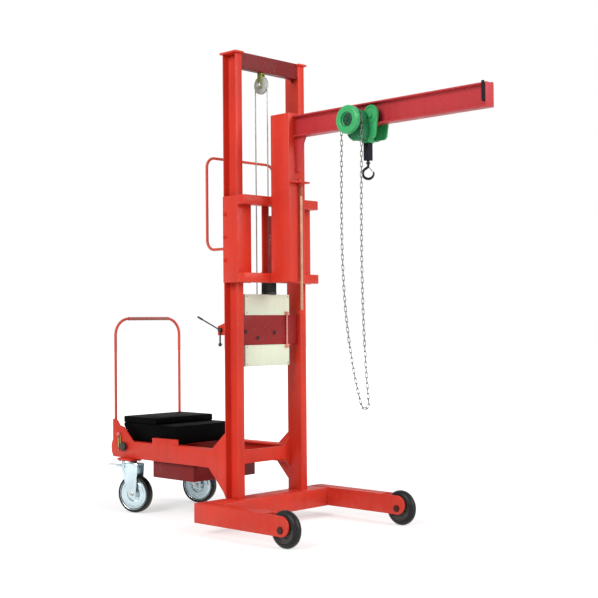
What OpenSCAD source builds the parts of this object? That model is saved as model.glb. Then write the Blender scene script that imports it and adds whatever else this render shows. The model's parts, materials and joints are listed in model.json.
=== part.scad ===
// Wheeled mast lifter with a jib boom, a trolley chain hoist and counterweights.
// Millimetres, +X is forward (legs and boom), +Y is the left side, +Z is up.
// Every module is drawn with x = 0 at the front face of the mast channels;
// place() then centres the whole machine over its footprint.

/* [Mast] */
// Height of the mast head above the floor
mast_h = 2323; // [2150:1:2600]
// Depth of a mast channel, front to rear
post_d = 95; // [80:1:110]
// Width of a mast channel over its flanges
post_w = 42; // [36:1:60]
// Wall of a mast channel
post_t = 7; // [5:0.5:9]
// Clear width between the two mast channels
post_gap = 396; // [360:1:440]
// Height of the head cross member
head_h = 69; // [50:1:90]
// Thickness of the head cross member
head_d = 40; // [30:1:60]
// Thickness of the plates that cap the mast channels
cap_t = 10; // [6:1:14]
// How far the caps stand out round the channels
cap_lip = 10; // [4:1:14]
// Height of the tie between the channels
tie_h = 67; // [50:1:90]
// Underside of the tie above the floor
tie_z = 305; // [260:1:340]
// Thickness of the tie
tie_t = 12; // [8:1:20]
// Size of the corner webs at the ends of the tie
tie_web = 40; // [25:1:55]

/* [Base] */
// Underside of the base beam and the legs above the floor
base_z = 55; // [45:1:70]
// Height of the base beam and the legs
base_h = 93; // [80:1:110]
// Depth of the base beam, front to rear
beam_d = 124; // [115:1:150]
// Width of a straddle leg
leg_w = 75; // [65:1:90]
// Distance between the inner faces of the two legs
leg_gap = 734; // [690:1:800]
// Length of the boxed part of a leg in front of the mast
leg_l = 375; // [320:1:450]
// Gap between the boxed part of a leg and its wheel
wheel_gap = 20; // [12:1:40]
// Diameter of a front wheel
wheel_d = 170; // [140:1:180]
// Width of a front wheel
wheel_w = 45; // [36:1:45]
// Thickness of the cheek plates beside a front wheel
cheek_t = 10; // [8:1:11]
// Diameter of the front axles
axle_d = 20; // [16:1:24]

/* [Rear chassis] */
// Length of the rear chassis behind the mast channels
chassis_l = 908; // [800:1:1000]
// Top of the side frames above the floor
frame_top = 376; // [345:1:410]
// Height of the side frames
frame_h = 89; // [70:1:100]
// Thickness of the side frames
frame_t = 8; // [6:1:12]
// Flange width of the side frames
frame_w = 60; // [52:1:70]
// Depth of the box below the side frames
tray_h = 88; // [60:1:100]
// Length of the box below the side frames
tray_l = 323; // [250:1:350]
// Distance of that box behind the mast channels
tray_x = 262; // [220:1:280]
// Width of the counterweights
weight_w = 400; // [384:1:420]
// Length of the lower counterweight tier
weight_l = 432; // [380:1:640]
// Length of the upper counterweight tier
weight_top_l = 272; // [200:1:370]
// Gap between the rear end of the chassis and the counterweights
weight_gap = 58; // [45:1:90]
// Height of the lower counterweight tier
weight_low_h = 95; // [80:1:130]
// Height of the upper counterweight tier
weight_up_h = 34; // [25:1:60]

/* [Handles] */
// Top of the rear push handle above the floor
push_z = 1036; // [900:1:1100]
// Diameter of the push handle tube
push_d = 15; // [12:1:22]
// Radius of the bends in the push handle
push_r = 90; // [60:1:110]
// Top of the handle behind the mast above the floor
grab_z = 1831; // [1700:1:1900]
// Bottom of the handle behind the mast above the floor
grab_low_z = 1363; // [1300:1:1450]
// Distance of that handle behind the mast channels
grab_x = 127; // [110:1:170]
// Diameter of that handle's tube
grab_d = 14; // [10:1:20]
// Radius of its bends
grab_r = 50; // [35:1:60]

/* [Casters] */
// Diameter of a swivel caster wheel
caster_d = 200; // [175:1:210]
// Width of a swivel caster wheel
caster_w = 45; // [36:1:50]
// Trail of the caster wheel behind its swivel
caster_trail = 38; // [30:1:50]
// Distance of the caster swivels ahead of the chassis end
caster_in = 138; // [125:1:190]
// Distance between the two caster swivels
caster_gap = 450; // [420:1:460]
// How far the near caster is swivelled round
near_turn = 17; // [-180:1:180]
// How far the far caster is swivelled round
far_turn = 20; // [-180:1:180]

/* [Winch] */
// Underside of the lower winch cover above the floor
winch_z = 787; // [700:1:850]
// Height of the lower winch cover
cover_low_h = 105; // [90:1:150]
// Height of the red plate between the covers
winch_plate_h = 146; // [110:1:160]
// Height of the upper winch cover
cover_up_h = 103; // [80:1:130]
// Width of the winch covers
cover_w = 308; // [270:1:340]
// Shift of the winch covers to the near side
cover_off = 14; // [0:1:20]
// Depth of the winch covers
cover_d = 110; // [80:1:140]
// Diameter of the winch motor
motor_d = 76; // [66:1:86]
// Height of the winch motor
motor_h = 120; // [80:1:160]
// Diameter of the lift rope
rope_d = 6; // [4:0.5:8]
// Distance of the rope from the middle plane
rope_y = 36; // [32:1:40]
// Length of the winch lever
lever_l = 175; // [140:1:200]
// Diameter of the head sheave
sheave_d = 84; // [78:1:86]
// Width of the head sheave
sheave_w = 14; // [12:1:18]

/* [Carriage] */
// Underside of the lower carriage bar above the floor
carriage_z = 1196; // [1150:1:1250]
// Height of the carriage over both bars
carriage_h = 421; // [380:1:480]
// Height of a carriage bar
bar_h = 46; // [40:1:56]
// Depth of a carriage bar
bar_d = 53; // [40:1:60]
// Length of the carriage bars
bar_l = 516; // [510:1:560]
// Gap between the mast channels and the carriage
slide_gap = 5; // [5:0.5:8]
// Thickness of the carriage side plates
side_t = 9; // [6:1:12]

/* [Jib] */
// Shift of the jib to the near side
jib_off = 27; // [20:1:34]
// Width of the jib post
jib_w = 108; // [90:1:130]
// Depth of the jib post
jib_d = 127; // [100:1:150]
// Flange thickness of the jib post
jib_t = 9; // [6:1:12]
// Height of the jib post
jib_h = 818; // [760:1:900]
// Height of the boom
boom_h = 104; // [90:1:120]
// Width of the boom
boom_w = 55; // [48:1:62]
// Reach of the boom in front of the mast
boom_x = 1321; // [1150:1:1450]
// Web thickness of the boom
boom_web = 6; // [5:0.5:8]
// Flange thickness of the boom
boom_fl = 8; // [7:0.5:10]
// Length of the knee plate under the boom
knee_l = 63; // [50:1:75]
// Height of the knee plate under the boom
knee_h = 170; // [120:1:200]
// Thickness of the plate that closes the boom
end_t = 8; // [6:1:12]

/* [Hoist] */
// Trolley position in front of the mast
trolley_x = 655; // [450:1:1100]
// Distance between the trolley's two axles
trolley_base = 108; // [100:1:125]
// Tread diameter of the trolley wheels
roller_d = 56; // [50:1:60]
// Thickness of the trolley side plates
trolley_t = 8; // [6:1:10]
// Radius of the hand wheel cover
cover_r = 65; // [56:1:72]
// Radius of the hand chain round the hand wheel
chain_r = 60; // [58:1:64]
// Length of the hanging loop below the hand wheel
chain_drop = 1290; // [1000:1:1290]
// Wire diameter of the hand chain
wire_d = 4.5; // [4:0.25:5]
// Number of links in the hand chain
link_count = 120; // [112:4:124]
// Opening of the load hook
hook_r = 19; // [16:1:23]

/* [Hidden] */

$fn = 48;
eps = 0.01;
near = -1;
far = 1;
red = "orangered";

// Mast
post_in = post_gap / 2;
post_out = post_in + post_w;
base_top = base_z + base_h;
post_h = mast_h - cap_t - base_top;
beam_rear = -post_d;
beam_front = beam_d - post_d;
// Base
leg_in = leg_gap / 2;
leg_out = leg_in + leg_w;
leg_mid = leg_in + leg_w / 2;
wheel_r = wheel_d / 2;
axle_x = leg_l + wheel_gap + wheel_r;
cheek_lap = 30;
cheek_end_r = base_h / 2;
axle_head_t = axle_d * 0.3;
axle_head_d = axle_d * 1.7;
running_gap = 0.1;
pin_gap = 0.05;
seat = 0.3;
// Rear chassis
rear_x = -post_d - chassis_l;
frame_low = frame_top - frame_h;
rear_beam_in = 14;
rear_beam_d = 60;
web_rise = 89;
web_run = 103;
foot_run = 123;
foot_low = 28;
foot_in = 15;
end_r = 78;
end_z = frame_low + 49;
fin_rise = 114;
fin_in = 14;
fin_w = 52;
fin_fall = 7;
step_x = 73;
step_rise = 82;
ramp_x = 112;
ramp_rise = 73;
corner_run = 190;
keeper_x = -post_d - 384;
keeper_l = 176;
keeper_w = 30;
keeper_h = 30;
tray_y = post_out - 25;
tray_front = -post_d - tray_x;
weight_rear = rear_x + weight_gap;
weight_z = frame_top;
bevel = 76;
// Handles
push_x = rear_x + rear_beam_in + push_d / 2;
push_y = post_out - frame_t - push_d / 2 - seat;
grab_y = post_out - grab_d / 2;
// Casters
caster_r = caster_d / 2;
swivel_x = rear_x + caster_in;
caster_y = caster_gap / 2;
pad_t = 12;
pad_l = 110;
pad_w = 80;
fork_drop = 14;
fork_t = 5;
fork_gap = 6;
fork_top = frame_low - pad_t - fork_drop;
fork_in = caster_w / 2 + fork_gap;
fork_out = fork_in + fork_t;
fork_mid = fork_in + fork_t / 2;
caster_pin_r = 6;
pedal_pin_r = 3.5;
pedal_pin_x = 18;
pedal_drop = 17;
pedal_z = fork_top - pedal_drop;
// Winch
winch_front = -22;
winch_rear = winch_front - cover_d;
plate_z = winch_z + cover_low_h;
cover_up_z = plate_z + winch_plate_h;
motor_z = cover_up_z + cover_up_h;
motor_x = -post_d / 2;
motor_y = 22;
strap_t = 6;
strap_w = 26;
strap_low = 14;
strap_gap = 1.5;
lever_x = -post_d - 37;
lever_z = plate_z + 74;
lever_up = 22;
lever_ear = 23;
lever_lean = 68;
lever_drop = 71;
lever_pin_r = 5;
ear_t = 8;
ear_rise = 19;
sheave_r = sheave_d / 2;
sheave_pin_r = 7;
sheave_bore = sheave_pin_r + pin_gap;
sheave_x = -32;
sheave_z = mast_h - cap_t - head_h - 60;
rope_low_z = cover_up_z + cover_up_h / 5;
rope_back_x = sheave_x - sheave_r;
rope_front_x = sheave_x + sheave_r;
// Carriage
bar_x = 22;
bar_y = bar_l / 2;
side_in = post_out + slide_gap;
carriage_top = carriage_z + carriage_h;
strip_t = 8;
strip_w = 42;
strip_y = 66;
lip_w = 90;
roll_in = 60;
roll_gap = 1.5;
anchor_z = carriage_z + 79;
anchor_top = anchor_z + 130;
// Jib
jib_x = bar_x + bar_d;
jib_front = jib_x + jib_d;
jib_z = carriage_z;
jib_top = jib_z + jib_h;
boom_z = jib_top - 117;
boom_top = boom_z + boom_h;
knee_t = 12;
knee_end = 20;
stop_l = 14;
stop_t = 7;
stop_up = 6;
stop_low = 23;
stop_x = boom_x - stop_l;
stop_end = boom_x - eps;
rod_x = jib_front + 13;
rod_y = 13;
rod_d = 14;
rod_low_z = 1040;
rod_collar_h = 20;
ledge_z = boom_z - 223;
ledge_l = 34;
ledge_t = 8;
// Hoist
roller_r = roller_d / 2;
roller_z = boom_z + boom_fl + roller_r;
roller_w = 16;
plate_in = boom_w / 2 + 8;
plate_out = plate_in + trolley_t;
shaft_z = boom_z - 22;
shaft_r = 12;
lobe_r = 42;
lobe_z = roller_z + 8;
waist_z = boom_z - 7;
waist_out = 22;
frame_foot_z = boom_z - 85;
frame_foot_out = 4;
notch_r = 30;
notch_up = 36;
hanger_x = 20;
hanger_y = 22;
wheel_x = trolley_x - 12;
wheel_z = boom_z + 18;
chain_y = -101;
cover_back = -111;
cover_front = -138;
cover_t = 4;
dish = 14;
dish_r = 28;
case_front = -91;
case_r = 54;
case_low_z = shaft_z - 2;
case_low_r = 50;
gear_z = shaft_z + 15;
gear_r = 60;
gear_end = 75;
block_w = 30;
block_z = shaft_z - 136;
block_top = shaft_z - 56;
hook_wire = 12;
hook_turn = 45;
hook_shank = 30;
shank_d = 12;
collar_d = 20;
collar_h = 10;
collar_up = 14;
collar_gap = 0.2;
hook_eye_z = block_z - hook_shank;
hook_z = hook_eye_z - hook_r - 10;
// Centre of the footprint, front to rear
x_max = boom_x + end_t;
x_min = rear_x;
x_mid = (x_max + x_min) / 2;

module place() {
    translate([-x_mid, 0, 0]) children();
}

// The jib and the hoist sit a little off the middle plane
module jib_place() {
    place() translate([0, -jib_off, 0]) children();
}

// A box from its lowest to its highest corner
module slab(low, high) {
    translate(low) cube([high[0] - low[0], high[1] - low[1], high[2] - low[2]]);
}

// An x-z outline given thickness along y, from y0 to y1
module plate_xz(y0, y1) {
    translate([0, y1, 0]) rotate([90, 0, 0]) linear_extrude(height = y1 - y0) children();
}

// An y-z outline given thickness along x, from x0 to x1
module plate_yz(x0, x1) {
    translate([x0, 0, 0]) rotate([90, 0, 90]) linear_extrude(height = x1 - x0) children();
}

// A round bar along y, from y0 to y1
module bar_along_y(x, z, r, y0, y1) {
    translate([x, y1, z]) rotate([90, 0, 0]) cylinder(r = r, h = y1 - y0);
}

// Flips a right-hand piece to the other side where asked
module on_side(side) {
    if (side < 0) mirror([0, 1, 0]) children();
    else children();
}

// ---------------------------------------------------------------- base

module base_beam() {
    color(red) place()
        slab([beam_rear, -leg_in, base_z], [beam_front, leg_in, base_top]);
}

// Boxed leg with an open fork for its wheel
module leg(side) {
    fork_x0 = leg_l - cheek_lap;
    color(red) place() on_side(side) difference() {
        union() {
            slab([beam_rear, leg_in, base_z], [leg_l, leg_out, base_top]);
            for (y = [leg_in, leg_out - cheek_t])
                plate_xz(y, y + cheek_t) cheek_outline(fork_x0);
        }
        bar_along_y(axle_x, wheel_r, axle_d / 2 + pin_gap, leg_in - 1, leg_out + 1);
    }
}

module cheek_outline(x0) {
    translate([x0, base_z]) square([axle_x - x0, base_h]);
    translate([axle_x, base_z + cheek_end_r]) circle(r = cheek_end_r);
}

// Bolts that carry the front wheels, with a six-sided head at each end
module front_axles() {
    color("silver") place() for (side = [near, far]) on_side(side) {
        bar_along_y(axle_x, wheel_r, axle_d / 2, leg_in - axle_head_t, leg_out + axle_head_t);
        for (y = [leg_in - axle_head_t, leg_out])
            translate([axle_x, y + axle_head_t, wheel_r]) rotate([90, 0, 0])
                cylinder(d = axle_head_d, h = axle_head_t, $fn = 6);
    }
}

// Tyre and hub of a front wheel, with its bore
module front_wheel(side) {
    half = wheel_w / 2;
    bore_r = axle_d / 2 + running_gap;
    hub_r = wheel_r * 0.31;
    hub_end = half * 1.09;
    slope = wheel_r * 0.07;
    dish_in = half * 0.82;
    dish_end = wheel_r * 0.74;
    tread = wheel_r * 0.78;
    round_r = wheel_r * 0.06;
    color("dimgray") place()
        translate([axle_x, side * leg_mid, wheel_r]) rotate([90, 0, 0])
        rotate_extrude($fn = 72) polygon(concat(
            [for (p = [
                [bore_r, hub_end], [hub_r, hub_end], [hub_r + slope, dish_in],
                [dish_end, dish_in], [tread, half], [wheel_r - round_r, half],
                [wheel_r, half - round_r]]) [p[0], -p[1]]],
            [[wheel_r, half - round_r], [wheel_r - round_r, half], [tread, half],
             [dish_end, dish_in], [hub_r + slope, dish_in], [hub_r, hub_end],
             [bore_r, hub_end]]));
}

// ---------------------------------------------------------------- mast

// Channel with its web towards the middle and its flanges outwards
module post(side) {
    color(red) place() on_side(side) translate([0, 0, base_top]) difference() {
        slab([-post_d, post_in, 0], [0, post_out, post_h]);
        slab([-post_d + post_t, post_in + post_t, -1], [-post_t, post_out + 1, post_h + 1]);
    }
}

module mast_caps() {
    color(red) place() for (side = [near, far]) on_side(side)
        slab([-post_d - cap_lip, post_in - cap_lip / 2, mast_h - cap_t],
             [cap_lip, post_out + cap_lip, mast_h]);
}

// Cross member between the channels at the top, with corner webs and a stiffener
module mast_head() {
    z0 = mast_h - cap_t - head_h;
    web = 18;
    web_thick = 10;
    rib_y = 40;
    rib_w = 8;
    rib_t = 5;
    color(red) place() {
        slab([-head_d - post_t, -post_in, z0], [-post_t, post_in, mast_h - cap_t]);
        slab([-head_d - post_t, -post_in + cap_lip / 2 + 1, mast_h - cap_t - eps],
             [-post_t, post_in - cap_lip / 2 - 1, mast_h]);
        for (side = [near, far])
            on_side(side) plate_yz(-head_d - post_t, -head_d - post_t + web_thick)
                polygon([[post_in, z0 + 1], [post_in - web, z0 + 1], [post_in, z0 - web]]);
        slab([-post_t - eps, rib_y - rib_w / 2, z0],
             [-post_t + rib_t, rib_y + rib_w / 2, mast_h - cap_t]);
    }
}

// Plate between the channels near the floor, with webs at its four corners
module mast_tie() {
    top = tie_z + tie_h;
    edge = post_in - tie_web;
    color(red) place() plate_yz(-post_d, -post_d + tie_t)
        polygon([
            [-post_in, tie_z - tie_web], [-edge, tie_z], [edge, tie_z],
            [post_in, tie_z - tie_web], [post_in, top + tie_web], [edge, top],
            [-edge, top], [-post_in, top + tie_web]]);
}

// ---------------------------------------------------------------- rear chassis

// Side frame: a channel along the chassis, with webs at both ends and a keeper block
module side_frame(side) {
    x0 = rear_x + rear_beam_in + rear_beam_d;
    color(red) place() on_side(side) {
        plate_xz(post_out - frame_t, post_out) side_outline();
        for (z = [frame_low, frame_top - frame_t])
            slab([x0, post_out - frame_w, z], [-post_d, post_out - frame_t + eps, z + frame_t]);
        slab([keeper_x - keeper_l, post_out - keeper_w, frame_top - eps],
             [keeper_x, post_out, frame_top + keeper_h]);
    }
}

module side_outline() {
    intersection() {
        translate([rear_x + end_r, end_z]) circle(r = end_r, $fn = 96);
        translate([rear_x, frame_low]) square([end_r, frame_h]);
    }
    polygon([
        [rear_x + end_r - 1, frame_low], [rear_x + end_r - 1, end_z], [rear_x + fin_in, end_z],
        [rear_x + fin_in, frame_top + fin_rise],
        [rear_x + fin_w, frame_top + fin_rise - fin_fall],
        [rear_x + step_x, frame_top + step_rise], [rear_x + ramp_x, frame_top + ramp_rise],
        [rear_x + corner_run, frame_top],
        [-post_d - web_run, frame_top], [-post_d, frame_top + web_rise],
        [-post_d, base_top + 2], [-post_d - foot_in, base_top + foot_low],
        [-post_d - foot_run, frame_low]]);
}

module rear_beam() {
    drop = 5;
    color(red) place()
        slab([rear_x + rear_beam_in, -post_out + frame_t, frame_low + drop],
             [rear_x + rear_beam_in + rear_beam_d, post_out - frame_t, frame_top]);
}

module caster_pads() {
    color(red) place() for (side = [near, far])
        translate([swivel_x, side * caster_y, frame_low - pad_t / 2])
            cube([pad_l, pad_w, pad_t], center = true);
}

// Closed steel box that hangs below the side frames
module chassis_box() {
    color("firebrick") place()
        slab([tray_front - tray_l, -tray_y, frame_low - tray_h], [tray_front, tray_y, frame_low]);
}

// Cast weight block with a bevelled lower rear edge
module weight(z0, h, x0, x1, cut) {
    color([0.1, 0.1, 0.11]) place()
        plate_xz(-weight_w / 2, weight_w / 2)
        polygon([[x0 + cut, z0], [x0, z0 + cut], [x0, z0 + h], [x1, z0 + h], [x1, z0]]);
}

module counterweight_low() {
    weight(weight_z, weight_low_h, weight_rear, weight_rear + weight_l, bevel);
}

module counterweight_top() {
    weight(weight_z + weight_low_h, weight_up_h, weight_rear, weight_rear + weight_top_l, 0);
}

// ---------------------------------------------------------------- handles

// A tube bent to a quarter circle in the y-z plane, from +y to +z
module bend_yz(r, d) {
    rotate([90, 0, 90]) rotate_extrude(angle = 90) translate([r, 0]) circle(d = d);
}

module push_handle() {
    z1 = push_z - push_d / 2;
    color(red) place() translate([push_x, 0, 0]) {
        for (side = [near, far]) on_side(side) {
            translate([0, push_y, frame_top])
                cylinder(d = push_d, h = z1 - push_r - frame_top);
            translate([0, push_y - push_r, z1 - push_r]) bend_yz(push_r, push_d);
        }
        bar_along_y(0, z1, push_d / 2, -push_y + push_r, push_y - push_r);
    }
}

module mast_handle() {
    x = -post_d - grab_x;
    z0 = grab_low_z + grab_r;
    z1 = grab_z - grab_d / 2;
    color(red) place() {
        for (side = [near, far]) on_side(side) {
            translate([x, grab_y, z0]) cylinder(d = grab_d, h = z1 - grab_r - z0);
            translate([x, grab_y - grab_r, z1 - grab_r]) bend_yz(grab_r, grab_d);
            translate([x + grab_r, grab_y, z0]) rotate([90, 180, 0])
                rotate_extrude(angle = 90) translate([grab_r, 0]) circle(d = grab_d);
            translate([x + grab_r, grab_y, grab_low_z]) rotate([0, 90, 0])
                cylinder(d = grab_d, h = -x - grab_r - post_d);
        }
        bar_along_y(x, z1, grab_d / 2, -grab_y + grab_r, grab_y - grab_r);
    }
}

// ---------------------------------------------------------------- winch

module winch_plate() {
    t = 8;
    hole_r = winch_plate_h * 0.045;
    holes = [[-0.41, 0.44], [-0.205, 0.23], [0.085, 0.4]];
    color("firebrick") place() difference() {
        slab([winch_front - t, -post_in, plate_z], [winch_front, post_in, cover_up_z]);
        for (h = holes)
            translate([winch_front - t - 1, h[0] * post_gap, plate_z + h[1] * winch_plate_h])
                rotate([0, 90, 0]) cylinder(r = hole_r, h = t + 2);
    }
}

module winch_cover(z0, h) {
    color([0.87, 0.88, 0.78]) place() translate([0, -cover_off, 0])
        slab([winch_rear, -cover_w / 2, z0], [winch_front, cover_w / 2, z0 + h]);
}

module winch_cover_low() {
    winch_cover(winch_z, cover_low_h);
}

// The upper cover has the hole that the rope runs down through
module winch_cover_top() {
    difference() {
        winch_cover(cover_up_z, cover_up_h);
        place() translate([rope_back_x, -rope_y, rope_low_z])
            cylinder(d = rope_d + 8, h = cover_up_h);
    }
}

module winch_motor() {
    color([0.3, 0.32, 0.32]) place()
        translate([motor_x, motor_y, motor_z]) cylinder(d = motor_d, h = motor_h, $fn = 72);
}

// Bracket behind the near channel that carries the lever's pivot
module lever_bracket() {
    color(red) place() translate([0, near * (post_in + lever_up), 0])
        plate_xz(-ear_t, 0) difference() {
            polygon([
                [-post_d, lever_z - lever_ear - 2], [lever_x - lever_ear, lever_z - lever_ear - 2],
                [lever_x - lever_ear, lever_z + ear_rise], [-post_d, lever_z + 2 * ear_rise]]);
            translate([lever_x, lever_z]) circle(r = lever_pin_r + pin_gap);
        }
}

// Lever on its pin, with a grip at its end and a short handle that hangs from the boss
module winch_lever() {
    y = near * (post_in + lever_up) - ear_t;
    boss_r = 11;
    boss_l = 12;
    arm_y = y - boss_l / 2;
    arm_d = 7;
    grip_d = 10;
    grip_l = 34;
    drop_d = 8;
    knob_d = 18;
    color([0.12, 0.12, 0.13]) place() {
        bar_along_y(lever_x, lever_z, lever_pin_r, y - boss_l / 2, y + ear_t + 6);
        bar_along_y(lever_x, lever_z, boss_r, y - boss_l, y - seat);
        translate([lever_x, arm_y, lever_z]) rotate([0, -lever_lean, 0]) {
            cylinder(d = arm_d, h = lever_l);
            translate([0, 0, lever_l - grip_l]) cylinder(d = grip_d, h = grip_l);
        }
        translate([lever_x, arm_y, lever_z - lever_drop]) cylinder(d = drop_d, h = lever_drop);
        translate([lever_x, arm_y, lever_z - lever_drop]) sphere(d = knob_d);
    }
}

// Strap that hangs the sheave under the head cross member
module sheave_bracket() {
    z0 = sheave_z - strap_low;
    z1 = mast_h - cap_t - head_h;
    g = sheave_w / 2 + strap_gap;
    x0 = sheave_x - strap_w / 2;
    pin_end = g + strap_t + 4;
    color("darkkhaki") place() translate([0, -rope_y, 0]) {
        for (s = [-1, 1])
            slab([x0, s * (g + strap_t / 2) - strap_t / 2, z0],
                 [x0 + strap_w, s * (g + strap_t / 2) + strap_t / 2, z1]);
        slab([x0, -g - strap_t, z1 - strap_t], [x0 + strap_w, g + strap_t, z1]);
        bar_along_y(sheave_x, sheave_z, sheave_pin_r, -pin_end, pin_end);
    }
}

module head_sheave() {
    rim = sheave_r + rope_d / 2;
    half = sheave_w / 2;
    rim_t = 2;
    groove_r = sheave_r - rope_d / 2 - seat;
    color("gainsboro") place()
        translate([sheave_x, -rope_y, sheave_z]) rotate([90, 0, 0])
        rotate_extrude($fn = 72) polygon([
            [sheave_bore, -half], [rim, -half], [rim, rim_t - half],
            [groove_r, -rope_d / 2], [groove_r, rope_d / 2],
            [rim, half - rim_t], [rim, half], [sheave_bore, half]]);
}

// Rope from the winch up to the sheave and over it
module rope_back() {
    color("silver") place() translate([0, -rope_y, 0]) {
        translate([rope_back_x, 0, rope_low_z])
            cylinder(d = rope_d, h = sheave_z - rope_low_z);
        translate([sheave_x, 0, sheave_z]) rotate([90, 0, 0])
            rotate_extrude(angle = 180, $fn = 72) translate([sheave_r, 0]) circle(d = rope_d);
    }
}

module rope_front() {
    color("silver") place() translate([rope_front_x, -rope_y, anchor_top])
        cylinder(d = rope_d, h = sheave_z - anchor_top);
}

// ---------------------------------------------------------------- casters

// Frame of a piece that swivels with its caster
module at_caster(side, turn) {
    place() translate([swivel_x, side * caster_y, 0]) rotate([0, 0, turn]) children();
}

module caster_fork(side, turn) {
    back = 30;
    ahead = caster_trail + 34;
    race_d = 74;
    ear = 20;
    ear_back = 30;
    color("lightsteelblue") at_caster(side, turn) {
        translate([0, 0, fork_top]) cylinder(d = race_d, h = fork_drop - seat);
        slab([-back, -fork_out, fork_top - fork_t], [ahead, fork_out, fork_top + eps]);
        for (s = [-1, 1]) difference() {
            plate_xz(s * fork_mid - fork_t / 2, s * fork_mid + fork_t / 2)
                polygon([[-back, fork_top], [ahead, fork_top], [ahead, fork_top - ear],
                         [caster_trail + ear, caster_r - ear],
                         [caster_trail - ear, caster_r - ear], [-back, fork_top - ear_back]]);
            bar_along_y(caster_trail, caster_r, caster_pin_r + pin_gap, -fork_out - 1,
                        fork_out + 1);
            bar_along_y(-pedal_pin_x, pedal_z, pedal_pin_r + pin_gap, -fork_out - 1,
                        fork_out + 1);
        }
    }
}

// Tyre, dished disc and axle of a swivel caster
module caster_wheel(side, turn) {
    r = caster_r;
    half = caster_w / 2;
    hub = half * 1.18;
    disc = half * 0.36;
    hub_r = r * 0.2;
    disc_r = r * 0.7;
    tread_r = r * 0.76;
    tread = half * 0.87;
    round_r = r * 0.08;
    pin_end = fork_out + 7;
    color("dimgray") at_caster(side, turn) {
        translate([caster_trail, 0, r]) rotate([90, 0, 0]) rotate_extrude($fn = 72)
            polygon([
                [0, -hub], [hub_r, -hub], [hub_r * 1.2, -disc], [disc_r, -disc],
                [tread_r, -tread], [r - round_r, -half], [r, round_r - half],
                [r, half - round_r], [r - round_r, half], [tread_r, tread],
                [disc_r, disc], [hub_r * 1.2, disc], [hub_r, hub], [0, hub]]);
        bar_along_y(caster_trail, r, caster_pin_r, -pin_end, pin_end);
    }
}

// Foot pedal of a caster's brake, on its own pins
module brake_pedal(side, turn) {
    arm = fork_out + 3;
    t = 4;
    tread_x = -137;
    tread_l = 90;
    tread_w = 44;
    yoke_x = -60;
    yoke_l = 16;
    arm_end = 10;
    arm_low = 7;
    pin_end = arm + 5;
    z = pedal_z + 2;
    color("silver") at_caster(side, turn) {
        slab([tread_x, -tread_w / 2, z], [tread_x + tread_l, tread_w / 2, z + t]);
        slab([yoke_x, -arm - t / 2, z], [yoke_x + yoke_l, arm + t / 2, z + t]);
        for (s = [-1, 1]) {
            slab([yoke_x, s * arm - t / 2, pedal_z - arm_low],
                 [arm_end - pedal_pin_x, s * arm + t / 2, z + t]);
            bar_along_y(-pedal_pin_x, pedal_z, pedal_pin_r, min(s * pin_end, s * fork_in),
                        max(s * pin_end, s * fork_in));
        }
    }
}

// ---------------------------------------------------------------- carriage

// Side plate outside a mast channel, its front lip and its guide rollers
module carriage_side(side) {
    back = 10;
    roll_r = post_d / 2 - post_t - roll_gap;
    roll_y = side_in - post_w + post_t;
    pin_r = 12;
    side_out = side_in + side_t;
    color(red) place() on_side(side) {
        slab([back - post_d, side_in, carriage_z], [bar_x, side_out, carriage_top]);
        slab([bar_x - strip_t, side_out - lip_w, carriage_z], [bar_x, side_out, carriage_top]);
        for (z = [carriage_z + roll_in, carriage_top - roll_in]) {
            bar_along_y(-post_d / 2, z, pin_r, roll_y + 2, side_in + 1);
            bar_along_y(-post_d / 2, z, roll_r, roll_y, side_in - slide_gap - 3);
        }
    }
}

module carriage_bar(z0) {
    color(red) place() slab([bar_x, -bar_y, z0], [bar_x + bar_d, bar_y, z0 + bar_h]);
}

module carriage_bar_low() {
    carriage_bar(carriage_z);
}

module carriage_bar_top() {
    carriage_bar(carriage_top - bar_h);
}

module carriage_strips() {
    color(red) place() for (side = [near, far]) on_side(side)
        slab([bar_x - strip_t, strip_y - strip_w / 2, carriage_z],
             [bar_x, strip_y + strip_w / 2, carriage_top]);
}

// Turnbuckle, eye and lug that hold the front rope to the lower bar
module rope_anchor() {
    x = rope_front_x;
    lug_r = 12;
    lug_t = 10;
    lug_z = carriage_z + 4;
    lug_h = 30;
    stem_d = 8;
    body_d = 14;
    body_l = 50;
    eye_d = 16;
    color("gray") place() translate([0, -rope_y, 0]) {
        slab([x - lug_r, -lug_t / 2, lug_z], [bar_x, lug_t / 2, lug_z + lug_h]);
        translate([x, 0, lug_z + lug_r]) cylinder(d = stem_d, h = anchor_top - lug_z - lug_r);
        translate([x, 0, anchor_z]) cylinder(d = body_d, h = body_l, $fn = 6);
        translate([x, 0, anchor_top - eye_d]) sphere(d = eye_d);
    }
}

// ---------------------------------------------------------------- jib

module jib_post() {
    color(red) jib_place() difference() {
        slab([jib_x, -jib_w / 2, jib_z], [jib_front, jib_w / 2, jib_top]);
        slab([jib_x + jib_t, -jib_w / 2 + jib_t, jib_z - 1],
             [jib_front - jib_t, jib_w / 2 - jib_t, jib_top - jib_t]);
    }
}

// I-beam with a plate that closes its free end
module boom() {
    color(red) jib_place() {
        plate_yz(jib_front, boom_x) {
            for (z = [boom_z, boom_top - boom_fl])
                translate([-boom_w / 2, z]) square([boom_w, boom_fl]);
            translate([-boom_web / 2, boom_z]) square([boom_web, boom_h]);
        }
        slab([boom_x - eps, -boom_w / 2, boom_z], [boom_x + end_t, boom_w / 2, boom_top]);
    }
}

// Knee plate with a hollowed free edge
module knee_plate() {
    r = 291;
    drop = 152;
    color(red) jib_place() plate_xz(-knee_t / 2, knee_t / 2) difference() {
        translate([jib_front, boom_z - knee_h]) square([knee_l, knee_h]);
        translate([jib_front + knee_end + r, boom_z - drop]) circle(r = r, $fn = 96);
    }
}

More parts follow.
